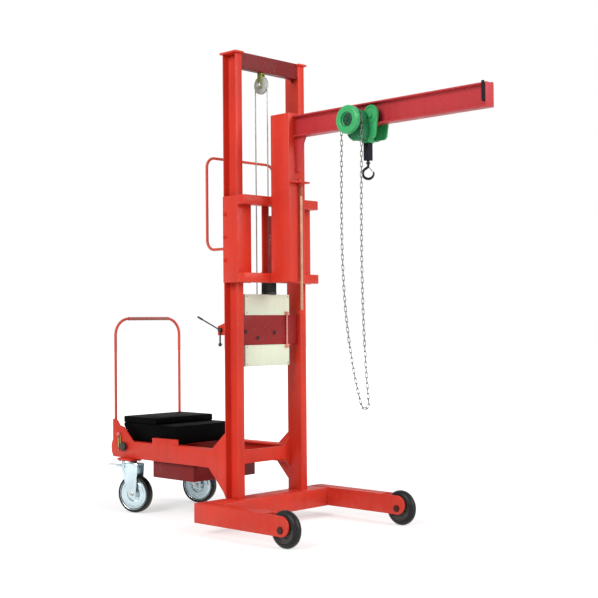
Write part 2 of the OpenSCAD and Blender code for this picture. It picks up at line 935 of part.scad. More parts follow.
// Rubber buffers between the flanges, each with a strip on the flange edges
module boom_stops() {
    color([0.12, 0.12, 0.12]) jib_place() for (side = [near, far]) on_side(side) {
        slab([stop_x, boom_web / 2, boom_z + stop_low],
             [stop_end, boom_w / 2 + stop_t, boom_top - boom_fl]);
        slab([stop_x, boom_w / 2, boom_z + stop_low],
             [stop_end, boom_w / 2 + stop_t, boom_top + stop_up]);
    }
}

module rod_ledge() {
    color(red) jib_place() difference() {
        slab([jib_front, -jib_w / 2, ledge_z], [jib_front + ledge_l, jib_w / 2, ledge_z + ledge_t]);
        translate([rod_x, rod_y, ledge_z - 1]) cylinder(d = rod_d + 1, h = ledge_t + 2);
    }
}

// Steel rod under the ledge, with its nuts and its end collar
module hanging_rod() {
    nut_d = 24;
    nut_h = 14;
    top_z = ledge_z + ledge_t;
    color("tan") jib_place() translate([rod_x, rod_y, 0]) {
        translate([0, 0, rod_low_z]) cylinder(d = rod_d, h = top_z + nut_h - rod_low_z);
        translate([0, 0, ledge_z - nut_h - seat]) cylinder(d = nut_d, h = nut_h, $fn = 6);
        translate([0, 0, top_z + seat]) cylinder(d = nut_d, h = nut_h / 2, $fn = 6);
        translate([0, 0, rod_low_z]) cylinder(d = nut_d, h = rod_collar_h);
    }
}

// ---------------------------------------------------------------- hoist

module trolley_outline() {
    half = trolley_base / 2;
    edge = half + lobe_r;
    difference() {
        union() {
            for (s = [-1, 1]) translate([trolley_x + s * half, lobe_z]) circle(r = lobe_r);
            polygon([
                [trolley_x - edge, lobe_z], [trolley_x + edge, lobe_z],
                [trolley_x + half + waist_out, waist_z],
                [trolley_x + half + frame_foot_out, frame_foot_z],
                [trolley_x - half - frame_foot_out, frame_foot_z],
                [trolley_x - half - waist_out, waist_z]]);
        }
        translate([trolley_x, lobe_z + notch_up]) circle(r = notch_r);
    }
}

// Side plates astride the boom, joined by the shaft under it
module trolley_frame() {
    color("mediumseagreen") jib_place() {
        for (s = [-1, 1])
            plate_xz(s * (plate_in + trolley_t / 2) - trolley_t / 2,
                     s * (plate_in + trolley_t / 2) + trolley_t / 2)
                trolley_outline();
        bar_along_y(trolley_x, shaft_z, shaft_r, -plate_out, plate_out);
        slab([trolley_x - hanger_x, -hanger_y, block_top],
             [trolley_x + hanger_x, hanger_y, shaft_z + 4]);
    }
}

module trolley_wheels() {
    lift = 0.3;
    inner = plate_in - 5 - roller_w;
    color("dimgray") jib_place()
        for (s = [-1, 1], t = [-1, 1]) on_side(s)
            bar_along_y(trolley_x + t * trolley_base / 2, roller_z + lift, roller_r,
                        inner, plate_in - seat);
}

// Casing between the near side plate and the hand wheel, with its lower lobe
module hoist_case() {
    color("seagreen") jib_place() {
        bar_along_y(wheel_x, wheel_z, case_r, case_front, -plate_out);
        bar_along_y(trolley_x, case_low_z, case_low_r, case_front, -plate_out);
    }
}

// Round cover with a dished face in front of the hand wheel
module hand_wheel_cover() {
    deep = cover_back - cover_front;
    rim = 10;
    flare = 8;
    color("mediumseagreen") jib_place()
        translate([wheel_x, cover_back, wheel_z]) rotate([90, 0, 0])
        rotate_extrude($fn = 96) polygon([
            [0, deep - dish], [dish_r, deep - dish], [dish_r + flare, deep],
            [cover_r - rim, deep], [cover_r, deep - rim], [cover_r, 0],
            [cover_r - cover_t, 0], [cover_r - cover_t, deep - rim - 2],
            [cover_r - rim - 2, deep - cover_t], [dish_r + flare + 2, deep - cover_t],
            [dish_r + 2, deep - dish - cover_t], [0, deep - dish - cover_t]]);
}

// Pocketed chain wheel on its stub shaft, which also carries the cover
module hand_wheel() {
    face = 7;
    lip = 3;
    r = chain_r - 8.6;
    stub_r = 12;
    stub_end = chain_y - cover_front - dish - cover_t;
    color("gray") jib_place() translate([wheel_x, chain_y, wheel_z]) rotate([90, 0, 0])
        rotate_extrude($fn = 72) polygon([
            [0, chain_y - case_front], [stub_r, chain_y - case_front], [stub_r, -face],
            [r, -face], [r, -lip], [r - lip, 0], [r, lip], [r, face], [stub_r, face],
            [stub_r, stub_end], [0, stub_end]]);
}

// Gear case on the far side, with three ribs round it
module gear_case() {
    l = gear_end - plate_out;
    rib = 4;
    step = l / 4;
    color("darkgreen") jib_place() translate([trolley_x, plate_out, gear_z]) rotate([-90, 0, 0]) {
        cylinder(r = gear_r - rib, h = l, $fn = 96);
        for (i = [0:2]) translate([0, 0, i * step]) cylinder(r = gear_r, h = step / 2, $fn = 96);
    }
}

// Dark block above the hook, bored for the hook's shank and collar
module load_block() {
    color([0.07, 0.08, 0.1]) jib_place() difference() {
        slab([trolley_x - block_w / 2, -block_w / 2, block_z],
             [trolley_x + block_w / 2, block_w / 2, block_top]);
        translate([trolley_x, 0, block_z - 1])
            cylinder(d = shank_d + 2 * pin_gap, h = collar_up + collar_h + 1);
        translate([trolley_x, 0, block_z + collar_up])
            cylinder(d = collar_d + 2 * collar_gap, h = collar_h + 2 * collar_gap);
    }
}

// Swivelling hook, its shank held by a collar inside the block
module load_hook() {
    bend = hook_r + hook_wire / 2;
    start = 115;
    sweep = 262;
    shank_in = 4;
    color("slategray") jib_place() translate([trolley_x, 0, 0]) rotate([0, 0, hook_turn]) {
        translate([0, 0, hook_eye_z - shank_in])
            cylinder(d = shank_d, h = shank_in + hook_shank + collar_up + 1);
        translate([0, 0, block_z + collar_up + collar_gap]) cylinder(d = collar_d, h = collar_h);
        translate([0, 0, hook_z]) rotate([90, 0, 0]) rotate([0, 0, start])
            rotate_extrude(angle = sweep, $fn = 64) translate([bend, 0]) circle(d = hook_wire);
        hull() {
            translate([bend * cos(start), 0, hook_z + bend * sin(start)])
                sphere(d = hook_wire, $fn = 24);
            translate([0, 0, hook_eye_z]) sphere(d = hook_wire, $fn = 24);
        }
    }
}

// ---------------------------------------------------------------- hand chain

// The loop runs over the wheel, down the front strand, round a bend and up again
link_gap = 0.6;
low_gap = 2.4;
link_bend = 1.6;
side_less = 0.4;
side_into = 0.5;
link_turn = 45;
drift_front = 54;
drift_back = 128;
bend_r = (2 * chain_r + drift_front - drift_back) / 2;
strand = chain_drop - bend_r;
arc_steps = 24;
steps = 40;
bend_steps = 12;
loop_points = concat(
    [for (i = [0:arc_steps]) let (a = 180 - i * 180 / arc_steps)
        [wheel_x + chain_r * cos(a), wheel_z + chain_r * sin(a)]],
    [for (i = [1:steps]) let (t = i / steps)
        [wheel_x + chain_r + drift_front * pow(t, 3), wheel_z - strand * t]],
    [for (i = [1:bend_steps - 1]) let (a = -i * 180 / bend_steps)
        [wheel_x - chain_r + drift_back + bend_r + bend_r * cos(a),
         wheel_z - strand + bend_r * sin(a)]],
    [for (i = [0:steps]) let (t = 1 - i / steps)
        [wheel_x - chain_r + drift_back * pow(t, 3.5), wheel_z - strand * t]]);
function reach(i) = i == 0 ? 0 : norm(loop_points[i] - loop_points[i - 1]) + reach(i - 1);
reaches = [for (i = [0:len(loop_points) - 1]) reach(i)];
loop_l = reaches[len(loop_points) - 1];
pitch = loop_l / link_count;
table_x = [for (i = [0:len(loop_points) - 1]) [reaches[i], loop_points[i][0]]];
table_z = [for (i = [0:len(loop_points) - 1]) [reaches[i], loop_points[i][1]]];
// The links are shifted along the loop so that one lies level at its lowest point
low_point = reaches[arc_steps + steps + bend_steps / 2];
low_link = round(low_point / pitch - 0.5);
shift = low_point - (low_link + 0.5) * pitch;
function on_loop(n) =
    let (s = (n * pitch + shift + loop_l) % loop_l) [lookup(s, table_x), lookup(s, table_z)];

// One link along x: two straight sides that run a little way into its round ends
module link(l) {
    bend = wire_d * link_bend;
    half = l / 2 - bend - wire_d / 2;
    side_d = wire_d - side_less;
    into = side_into;
    for (s = [-1, 1]) {
        translate([-half - into, s * bend, 0]) rotate([0, 90, 0])
            cylinder(d = side_d, h = 2 * (half + into), $fn = 24);
        translate([s * half, 0, 0]) rotate([0, 0, -90 * s])
            rotate_extrude(angle = 180, $fn = 24) translate([bend, 0])
            circle(d = wire_d, $fn = 24);
    }
}

module links(first, last) {
    for (i = [first:last]) {
        a = on_loop(i);
        b = on_loop(i + 1);
        d = b - a;
        translate([(a[0] + b[0]) / 2, chain_y, (a[1] + b[1]) / 2])
            rotate([0, -atan2(d[1], d[0]), 0])
            rotate([i % 2 == 0 ? link_turn : -link_turn, 0, 0])
            link(norm(d) + 2 * wire_d + (abs(i - low_link) < 3 ? low_gap : link_gap));
    }
}

module hand_chain_back() {
    color("lightgray") jib_place() links(low_link + 1, link_count - 1);
}

module hand_chain_front() {
    color("lightgray") jib_place() links(0, low_link);
}

// ---------------------------------------------------------------- nodes

base_beam();
leg(near);  // leg_near
leg(far);  // leg_far
post(near);  // post_near
post(far);  // post_far
mast_head();
mast_caps();
mast_tie();
side_frame(near);  // side_frame_near
side_frame(far);  // side_frame_far
rear_beam();
caster_pads();
chassis_box();
counterweight_low();
counterweight_top();
push_handle();
mast_handle();
winch_plate();
winch_cover_low();
winch_cover_top();
winch_motor();
lever_bracket();
winch_lever();
sheave_bracket();
head_sheave();
rope_back();
rope_front();
front_axles();
front_wheel(near);  // front_wheel_near
front_wheel(far);  // front_wheel_far
caster_fork(near, near_turn);  // caster_fork_near
caster_fork(far, far_turn);  // caster_fork_far
caster_wheel(near, near_turn);  // caster_wheel_near
caster_wheel(far, far_turn);  // caster_wheel_far
brake_pedal(near, near_turn);  // brake_pedal_near
brake_pedal(far, far_turn);  // brake_pedal_far
carriage_side(near);  // carriage_side_near
carriage_side(far);  // carriage_side_far
carriage_bar_top();
carriage_bar_low();
carriage_strips();
jib_post();
boom();
knee_plate();
boom_stops();
rod_ledge();
hanging_rod();
rope_anchor();
trolley_frame();
trolley_wheels();
hoist_case();
hand_wheel_cover();
hand_wheel();
gear_case();
load_block();
load_hook();
hand_chain_back();
hand_chain_front();
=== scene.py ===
"""Looks of a wheeled mast lifter with a jib boom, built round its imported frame."""

import json
import math

import bmesh
import bpy
from mathutils import Matrix, Vector


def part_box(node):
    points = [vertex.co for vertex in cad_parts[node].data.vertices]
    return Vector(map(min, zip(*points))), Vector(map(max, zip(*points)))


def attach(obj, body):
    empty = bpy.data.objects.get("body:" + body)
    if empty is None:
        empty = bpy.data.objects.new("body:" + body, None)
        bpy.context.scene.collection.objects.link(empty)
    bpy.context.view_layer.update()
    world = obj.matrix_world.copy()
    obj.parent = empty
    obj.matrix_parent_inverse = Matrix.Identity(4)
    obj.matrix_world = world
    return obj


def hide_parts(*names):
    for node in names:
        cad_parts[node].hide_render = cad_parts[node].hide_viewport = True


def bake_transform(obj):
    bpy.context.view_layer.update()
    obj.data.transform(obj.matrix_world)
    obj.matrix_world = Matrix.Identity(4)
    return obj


bl_info = {
    "name": "Mast Lifter Looks",
    "version": (1, 0, 0),
    "blender": (4, 5, 0),
    "location": "View3D > Sidebar > Lifter",
    "description": "Finishes, small fittings and studio for a wheeled mast lifter",
    "category": "Object",
}

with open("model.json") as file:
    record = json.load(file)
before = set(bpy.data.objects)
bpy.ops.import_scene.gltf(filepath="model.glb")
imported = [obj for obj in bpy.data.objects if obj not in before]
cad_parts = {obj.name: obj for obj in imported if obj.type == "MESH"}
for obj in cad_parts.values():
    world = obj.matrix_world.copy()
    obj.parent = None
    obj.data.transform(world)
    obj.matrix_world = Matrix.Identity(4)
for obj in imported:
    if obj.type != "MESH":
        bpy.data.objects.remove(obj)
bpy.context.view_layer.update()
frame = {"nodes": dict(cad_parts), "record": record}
NODES = frame["nodes"]
RECORD = frame["record"]
SLOT_OF = {row["node"]: row["material_slot"] for row in RECORD["subparts"]}
BODY_OF = {node: body for body, nodes in RECORD["behaviour"]["bodies"].items() for node in nodes}
JOINTS = {joint["name"]: joint for joint in RECORD["behaviour"]["joints"]}
FINISHES = {}
X, Y, Z = Vector((1, 0, 0)), Vector((0, 1, 0)), Vector((0, 0, 1))


# ---------------------------------------------------------------- settings


def colour(name, where, default):
    """A colour setting."""
    return bpy.props.FloatVectorProperty(
        name=name, description="Colour of " + where, default=default, subtype="COLOR", min=0, max=1
    )


def number(name, description, default, **more):
    """A setting that is one number."""
    return bpy.props.FloatProperty(name=name, description=description, default=default, **more)


def metres(name, description, default):
    """A length setting, in metres."""
    return number(name, description, default, unit="LENGTH", min=0)


def turn_by(name, description, degrees):
    """An angle setting, given in degrees."""
    return number(name, description, math.radians(degrees), unit="ROTATION")


class LifterFinish(bpy.types.PropertyGroup):
    """Colours of the paints, metals and rubbers."""

    red: colour("Red paint", "the painted steelwork", (0.68, 0.038, 0.016))
    red_shade: colour("Shaded red", "the drift in the red paint", (0.56, 0.030, 0.016))
    tube: colour("Tube paint", "the two handles' tubes", (0.70, 0.085, 0.05))
    # The winch plate wears this deep red; the mast head and the box under the chassis take it darker
    # still, which is painted shade.
    deep: colour("Deep red paint", "the winch plate, the head and the box", (0.31, 0.011, 0.012))
    # Partly the boom's own crimson, partly painted shade of the top flange over the web; the knee
    # plate shares it.
    boom: colour("Boom crimson and shade", "the boom and the knee plate", (0.51, 0.038, 0.044))
    black: colour("Weight paint", "the cast weights", (0.0015, 0.0015, 0.0018))
    cream: colour("Cover paint", "the winch covers", (0.80, 0.85, 0.66))
    motor: colour("Motor paint", "the winch motor", (0.035, 0.042, 0.04))
    green: colour("Hoist paint", "the hoist's painted shells", (0.042, 0.40, 0.13))
    gear: colour("Gear case paint", "the hoist's gear case", (0.012, 0.14, 0.055))
    case: colour("Case paint", "the hoist's inner case", (0.020, 0.22, 0.085))
    strap: colour("Strap paint", "the sheave's strap", (0.42, 0.46, 0.10))
    steel: colour("Bare steel", "bolts, sheave and wheels", (0.52, 0.52, 0.50))
    zinc: colour("Zinc", "the zinc plated forks and discs", (0.62, 0.75, 0.79))
    chain: colour("Chain", "the plated hand chain", (0.16, 0.19, 0.16))
    rod: colour("Rod", "the hanging rod", (0.50, 0.27, 0.17))
    hook: colour("Hook", "the forged hook", (0.012, 0.013, 0.018))
    rubber: colour("Rubber", "the tyres", (0.0025, 0.0025, 0.0028))
    hub: colour("Hub", "the front wheels' hubs", (0.05, 0.05, 0.052))
    grip: colour("Grip", "the push handle's sleeve", (0.42, 0.10, 0.075))
    brass: colour("Brass", "the clamp's screws", (0.40, 0.36, 0.12))
    # The clamp cap's own pink paint; on the winch plate's steel guide rod it is a painted reflection
    # of the red around it.
    pink_and_reflection: colour("Pink paint and reflection", "the clamp's cap", (0.80, 0.30, 0.24))
    # Painted reflection: a pale paint stands for the white that the steel sheave reflects; the anchor
    # ball shares it.
    sheave: colour("Sheave", "the sheave at the mast's head", (0.62, 0.70, 0.66))
    # Very dark reddish steel for the front axles, darkened partly as painted shade of their holes.
    axle_dark: colour("Dark axle steel", "the front axles and the plugs", (0.06, 0.022, 0.018))
    # Painted shade: the dark green of the sunk dish in the hoist's cover, also used on the cases'
    # screws.
    recess: colour("Recess", "the dish in the hoist's cover", (0.010, 0.07, 0.035))


class LifterFittings(bpy.types.PropertyGroup):
    """Sizes of rounded edges, welds and bolts."""

    tube_edge: metres("Tube edge", "Rounding of tubes, beams and covers", 0.004)
    channel_edge: metres("Channel edge", "Rounding of rolled channels and side plates", 0.0022)
    plate_edge: metres("Plate edge", "Rounding of cut plates", 0.0011)
    cast_edge: metres("Cast edge", "Rounding of the cast weights", 0.006)
    weld: metres("Weld", "Half width of a weld bead", 0.0028)
    bolt: metres("Bolt", "Width across the flats of the side plates' bolts", 0.017)


class LifterView(bpy.types.PropertyGroup):
    """Camera and lights."""

    eye: bpy.props.FloatVectorProperty(
        name="Eye", description="Place of the camera", default=(3.986, -4.128, 1.001), unit="LENGTH"
    )
    heading: turn_by("Heading", "Turn of the camera from +Y towards -X", 43.86)
    pitch: turn_by("Pitch", "Tilt of the camera above the horizon", 1.135)
    roll: turn_by("Roll", "Roll of the camera", 0.49)
    lens: number("Lens", "Focal length", 70.84, unit="CAMERA")
    key: number("Key light", "Power of the key", 480)
    fill: number("Fill light", "Power of the fill", 330)
    sky: number("Sky", "Strength of the room light", 0.44)
    floor_glow: number("Floor glow", "White that the floor shows by itself near the lifter", 0.5)


# ---------------------------------------------------------------- shader groups


COLOUR, NUMBER = "NodeSocketColor", "NodeSocketFloat"


def new_group(name, **inputs):
    """An empty shader group: what it is given, by name, and its colour, roughness and height."""
    group = bpy.data.node_groups.new(name, "ShaderNodeTree")
    for label, default in inputs.items():
        kind = COLOUR if hasattr(default, "__len__") else NUMBER
        socket = group.interface.new_socket(label, in_out="INPUT", socket_type=kind)
        socket.default_value = default
    for label, kind in (("Colour", COLOUR), ("Roughness", NUMBER), ("Height", NUMBER)):
        group.interface.new_socket(label, in_out="OUTPUT", socket_type=kind)
    given = group.nodes.new("NodeGroupInput").outputs
    return group, given, group.nodes.new("NodeGroupOutput").inputs


def put_out(group, out, *looks):
    """Joins the colour, the roughness and the height to a group's outputs, in that order."""
    for socket, value in zip(out, looks):
        group.links.new(value, socket)
    return group


def add(tree, kind, **settings):
    """A node with its settings. A key that names a socket sets that socket's value."""
    node = tree.nodes.new("ShaderNode" + kind)
    for key, value in settings.items():
        if key in node.inputs.keys():
            node.inputs[key].default_value = value
        else:
            setattr(node, key, value)
    return node


def noise(tree, scale, detail, stretch=(1, 1, 1)):
    """Noise in object space, stretched along an axis."""
    place = add(tree, "TexCoord")
    mapping = add(tree, "Mapping")
    mapping.inputs["Scale"].default_value = stretch
    pattern = add(tree, "TexNoise", Scale=scale, Detail=detail, Roughness=0.55)
    tree.links.new(place.outputs["Object"], mapping.inputs["Vector"])
    tree.links.new(mapping.outputs["Vector"], pattern.inputs["Vector"])
    return pattern.outputs["Fac"]


def ramp(tree, value, low, high, to_min=0.0, to_max=1.0):
    """A value stretched from low..high to to_min..to_max, clamped."""
    ends = {"From Min": low, "From Max": high, "To Min": to_min, "To Max": to_max}
    node = add(tree, "MapRange", clamp=True, **ends)
    tree.links.new(value, node.inputs["Value"])
    return node.outputs["Result"]


def mix(tree, factor, a, b):
    """Two colours mixed by a factor. Each may be a socket or a value."""
    node = add(tree, "Mix", data_type="RGBA")
    for socket, value in zip((node.inputs[0], node.inputs[6], node.inputs[7]), (factor, a, b)):
        if isinstance(value, bpy.types.NodeSocket):
            tree.links.new(value, socket)
        elif hasattr(value, "__len__"):
            socket.default_value = (*value, 1)
        else:
            socket.default_value = value
    return node.outputs[2]


def calc(tree, operation, a, b):
    """Two values worked together. Each may be a socket or a number."""
    node = add(tree, "Math", operation=operation)
    for socket, value in zip(node.inputs, (a, b)):
        if isinstance(value, bpy.types.NodeSocket):
            tree.links.new(value, socket)
        else:
            socket.default_value = value
    return node.outputs[0]


def times(tree, a, b):
    """One value times another."""
    return calc(tree, "MULTIPLY", a, b)


def paint_group():
    """Sprayed paint: slow drift of colour, fine peel, scuffs and dust low down."""
    group, given, out = new_group(
        "Sprayed Paint", Colour=(1, 0, 0, 1), Shade=(0.5, 0, 0, 1), Gloss=0.35, Scuffs=0.3
    )
    drift = ramp(group, noise(group, 2.2, 2), 0.35, 0.7)
    streaks = ramp(group, noise(group, 9.0, 4, (3.0, 3.0, 0.35)), 0.5, 0.78)
    specks = ramp(group, noise(group, 120.0, 2), 0.66, 0.74)
    height = add(group, "SeparateXYZ")
    group.links.new(add(group, "TexCoord").outputs["Object"], height.inputs[0])
    near_floor = ramp(group, height.outputs["Z"], 0.0, 0.2, 0.2, 0.0)
    dust = times(group, near_floor, ramp(group, noise(group, 24.0, 5), 0.35, 0.75))
    tone = mix(group, drift, given["Colour"], given["Shade"])
    grime = times(group, streaks, given["Scuffs"])
    tone = mix(group, grime, tone, mix(group, 0.5, tone, (0.02, 0.012, 0.01)))
    tone = mix(group, dust, tone, (0.32, 0.25, 0.2))
    chips = times(group, specks, times(group, given["Scuffs"], 0.5))
    tone = mix(group, chips, tone, mix(group, 0.6, tone, (0.9, 0.75, 0.65)))
    rough = ramp(group, noise(group, 18.0, 4), 0.3, 0.75, 0, 0.16)
    rough = calc(group, "ADD", calc(group, "ADD", given["Gloss"], rough), times(group, dust, 0.4))
    return put_out(group, out, tone, rough, noise(group, 420.0, 2))


def metal_group():
    """Bare or plated metal: cloudy tone, fine drawn lines and dull spots."""
    group, given, out = new_group("Worked Metal", Colour=(0.6, 0.6, 0.6, 1), Gloss=0.3, Tarnish=0.3)
    dull = times(group, ramp(group, noise(group, 30.0, 5), 0.35, 0.7), given["Tarnish"])
    tone = mix(group, dull, given["Colour"], mix(group, 0.55, given["Colour"], (0.05, 0.04, 0.03)))
    spots = ramp(group, noise(group, 160.0, 3), 0.55, 0.72)
    rough = calc(group, "ADD", given["Gloss"], times(group, spots, 0.18))
    return put_out(group, out, tone, rough, noise(group, 300.0, 3, (1, 1, 4)))


def rubber_group():
    """Moulded rubber: matt, a little grey with dust, with a grained skin."""
    group, given, out = new_group("Moulded Rubber", Colour=(0.01, 0.01, 0.01, 1), Dust=0.25)
    cloud = times(group, ramp(group, noise(group, 26.0, 5), 0.4, 0.75), given["Dust"])
    tone = mix(group, cloud, given["Colour"], (0.16, 0.14, 0.12))
    rough = ramp(group, noise(group, 60.0, 3), 0.3, 0.7, 0.32, 0.5)
    return put_out(group, out, tone, rough, noise(group, 500.0, 2))


def finish(name, group, bump, metallic, shine, values):
    """A material whose colour, roughness and bump come from a group."""
    material = bpy.data.materials.new(name)
    material.use_nodes = True
    tree = material.node_tree
    shader = tree.nodes["Principled BSDF"]
    look = tree.nodes.new("ShaderNodeGroup")
    look.node_tree = group
    for key, value in values.items():
        look.inputs[key].default_value = (*value, 1) if hasattr(value, "__len__") else value
    tree.links.new(look.outputs["Colour"], shader.inputs["Base Color"])
    tree.links.new(look.outputs["Roughness"], shader.inputs["Roughness"])
    relief = add(tree, "Bump", Strength=bump, Distance=0.0006)
    tree.links.new(look.outputs["Height"], relief.inputs["Height"])
    tree.links.new(relief.outputs["Normal"], shader.inputs["Normal"])
    shader.inputs["Metallic"].default_value = metallic
    shader.inputs["Specular IOR Level"].default_value = shine
    return material


def make_finishes():
    """Every material of the lifter, by the record's slot or by its own name."""
    tone = bpy.context.scene.lifter_finish
    paint_look, metal_look, rubber_look = paint_group(), metal_group(), rubber_group()

    def darker(main, by):
        return tuple(by * part for part in main)

    def paint(main, shade=0.75, gloss=0.34, scuffs=0.3, bump=0.12, shine=0.26):
        """shade is a colour, or the share of the main colour."""
        shade = shade if hasattr(shade, "__len__") else darker(main, shade)
        values = {"Colour": main, "Shade": shade, "Gloss": gloss, "Scuffs": scuffs}
        return paint_look, bump, 0.0, shine, values

    def metal(main, gloss=0.3, tarnish=0.3):
        values = {"Colour": main, "Gloss": gloss, "Tarnish": tarnish}
        return metal_look, 0.15, 0.85, 0.5, values

    def rubber(main, dust, bump=0.3, shine=0.5):
        return rubber_look, bump, 0.0, shine, {"Colour": main, "Dust": dust}

    looks = {
        "weld": paint(tone.red, tone.red_shade, 0.42, 0.5, bump=0.5),
        "hub grey": paint(tone.hub, gloss=0.4),
        "grip brown": rubber(tone.grip, 0.1, bump=0.4),
        "olive brass": metal(tone.brass, 0.35, 0.5),
        # Pink paint of the clamp cap, used on the steel guide rod as a painted reflection.
        "faded red": paint(tone.pink_and_reflection, 0.8, gloss=0.5),
        "deep red": paint(tone.deep, gloss=0.42, scuffs=0.4),
        # Painted shade: the deep red darkened for the mast head and the box under the chassis.
        "dark red": paint(darker(tone.deep, 0.66), darker(tone.deep, 0.5), 0.42, 0.4),
        # Boom paint: its own crimson, darkened also as painted shade of the top flange on the web.
        "boom red": paint(tone.boom, 0.88, gloss=0.36),
        # Front axles: very dark reddish steel, partly painted shade of the axle holes.
        "sooty steel": metal(tone.axle_dark, 0.45, 0.6),
        "black plate": paint(tone.hook, 1, gloss=0.42, scuffs=0.1, shine=0.08),
        "tube red": paint(tone.tube, 0.85, gloss=0.3),
        "shaded green": paint(tone.recess, 0.6, gloss=0.4),
        "case green": paint(tone.case, gloss=0.4),
        "dull strip": paint(tone.steel, 0.8, gloss=0.45),
        "frame_red": paint(tone.red, tone.red_shade),
        "carriage_red": paint(tone.red, tone.red_shade, 0.3),
        "jib_red": paint(tone.red, tone.red_shade, 0.3),
        "weight_black": paint(tone.black, 0.5, 0.5, 0.05, bump=0.5, shine=0.03),
        "winch_cream": paint(tone.cream, 0.88, gloss=0.42, scuffs=0.15),
        "motor_grey": paint(tone.motor, gloss=0.4),
        "lever_black": rubber(tone.rubber, 0.1, bump=0.2),
        "strap_yellow": paint(tone.strap, gloss=0.4),
        # Painted reflection: pale non-metal paint for the bright steel sheave.
        "sheave_steel": paint(tone.sheave, 0.85, gloss=0.3, scuffs=0.2),
        "rope_steel": metal(darker(tone.steel, 0.8), 0.4, 0.5),
        "bolt_steel": metal(tone.steel, 0.28),
        "front_tyre": rubber(tone.rubber, 0.04, shine=0.28),
        "caster_tyre": rubber(tone.rubber, 0.04, shine=0.28),
        "caster_zinc": metal(tone.zinc, 0.22, 0.2),
        "rod_steel": metal(tone.rod, 0.35, 0.4),
        "stop_black": rubber(tone.rubber, 0.15),
        "hoist_green": paint(tone.green, 0.8, gloss=0.2, scuffs=0.1),
        "gear_green": paint(tone.gear, 0.7, gloss=0.25, scuffs=0.15),
        "block_black": paint(tone.black, gloss=0.35, shine=0.1),
        "hook_steel": metal(tone.hook, 0.35),
        "chain_zinc": metal(tone.chain, tarnish=0.35),
    }
    for key, look in looks.items():
        FINISHES[key] = finish(key.replace("_", " "), *look)


# ---------------------------------------------------------------- modelling helpers


def new_object(name, data):
    """A new object in the scene."""
    thing = bpy.data.objects.new(name, data)
    bpy.context.scene.collection.objects.link(thing)
    return thing


def named(name, bm, body, slot, look=None, smooth=32, stands_for=None):
    """Makes a mesh a finished piece that rides on a body, unless body is None."""
    mesh = bpy.data.meshes.new(name)
    bm.to_mesh(mesh)
    bm.free()
    mesh.shade_smooth()
    mesh.set_sharp_from_angle(angle=math.radians(smooth))
    piece = new_object(name, mesh)
    mesh.materials.append(FINISHES[look or slot])
    if body:
        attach(piece, body)
    if stands_for:
        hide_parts(stands_for)
    return piece


def put(bm, part, place=None):
    """Adds a closed part to a mesh, set in its place, with its faces outwards."""
    bmesh.ops.remove_doubles(part, verts=part.verts, dist=1e-6)
    bmesh.ops.recalc_face_normals(part, faces=part.faces)
    if place is not None:
        part.transform(place)
    shape = bpy.data.meshes.new("part")
    part.to_mesh(shape)
    part.free()
    bm.from_mesh(shape)
    bpy.data.meshes.remove(shape)


def stand(origin, axis):
    """The place of a part drawn along +Z, stood at a point along an axis."""
    return Matrix.Translation(origin) @ Vector(axis).to_track_quat("Z", "Y").to_matrix().to_4x4()


def turned(bm, profile, origin, axis, steps):
    """A turned part. profile holds (radius, distance along the axis)."""
    part = bmesh.new()
    verts = [part.verts.new((radius, 0, along)) for radius, along in profile]
    edges = [part.edges.new(pair) for pair in zip(verts, verts[1:])]
    full = {"cent": (0, 0, 0), "axis": Z, "angle": 2 * math.pi, "use_merge": True}
    bmesh.ops.spin(part, geom=verts + edges, steps=steps, **full)
    put(bm, part, stand(origin, axis))


def rod(bm, start, end, diameter, steps=20):
    """A round bar between two points, with its ends chamfered."""
    start, end = Vector(start), Vector(end)
    r, l = diameter / 2, (end - start).length
    c = r * 0.15
    turned(bm, [(0, 0), (r - c, 0), (r, c), (r, l - c), (r - c, l), (0, l)], start, end - start, steps)


def bevel(part, edges, offset, segments=2, **more):
    """Rounds some edges of a part."""
    rounding = {"offset": offset, "segments": segments, "profile": 0.5, "material": -1}
    bmesh.ops.bevel(part, geom=edges, affect="EDGES", **rounding, **more)


def extrude(part, by):
    """Pulls all faces of a flat part along a vector, so that it is a closed body."""
    found = bmesh.ops.extrude_face_region(part, geom=part.faces[:])["geom"]
    bmesh.ops.translate(part, verts=[v for v in found if isinstance(v, bmesh.types.BMVert)], vec=by)
    bmesh.ops.recalc_face_normals(part, faces=part.faces)


def block(bm, low, high, round_by=0.001, segments=2, place=None):
    """A box between two corners with rounded edges."""
    low, high = Vector(low), Vector(high)
    part = bmesh.new()
    size = Matrix.Diagonal((*(high - low), 1))
    bmesh.ops.create_cube(part, size=1, matrix=Matrix.Translation((low + high) / 2) @ size)
    bevel(part, part.edges[:], round_by, segments)
    put(bm, part, place)


def plate(bm, outline, thick, place, round_by):
    """A plate cut to an outline in x and y, thick along z, with rounded edges."""
    part = bmesh.new()
    part.faces.new([part.verts.new((x, y, 0)) for x, y in outline])
    extrude(part, (0, 0, thick))
    bevel(part, [e for e in part.edges if e.calc_face_angle(0) > math.radians(30)], round_by)
    put(bm, part, place)


def bolt(bm, at, axis, across, washer=True, stud=0.0):
    """A hexagon head on its washer, and the end of a threaded stud where one shows."""
    at, axis = Vector(at), Vector(axis).normalized()
    lift = 0.0
    if washer:
        lift = across * 0.12
        r = across * 0.68
        turned(bm, [(0, 0), (r, 0), (r, lift * 0.7), (r * 0.95, lift), (0, lift)], at, axis, 24)
    head, corner = across * 0.4, across * 0.577
    part = bmesh.new()
    bmesh.ops.create_cone(
        part, cap_ends=True, segments=6, radius1=corner, radius2=corner, depth=head
    )
    top = [edge for edge in part.edges if all(vert.co.z > 0 for vert in edge.verts)]
    bevel(part, top, across * 0.07)
    put(bm, part, stand(at + axis * (lift + head / 2), axis))
    if stud:
        thread(bm, at + axis * (lift + head * 0.9), axis, across * 0.56, stud)


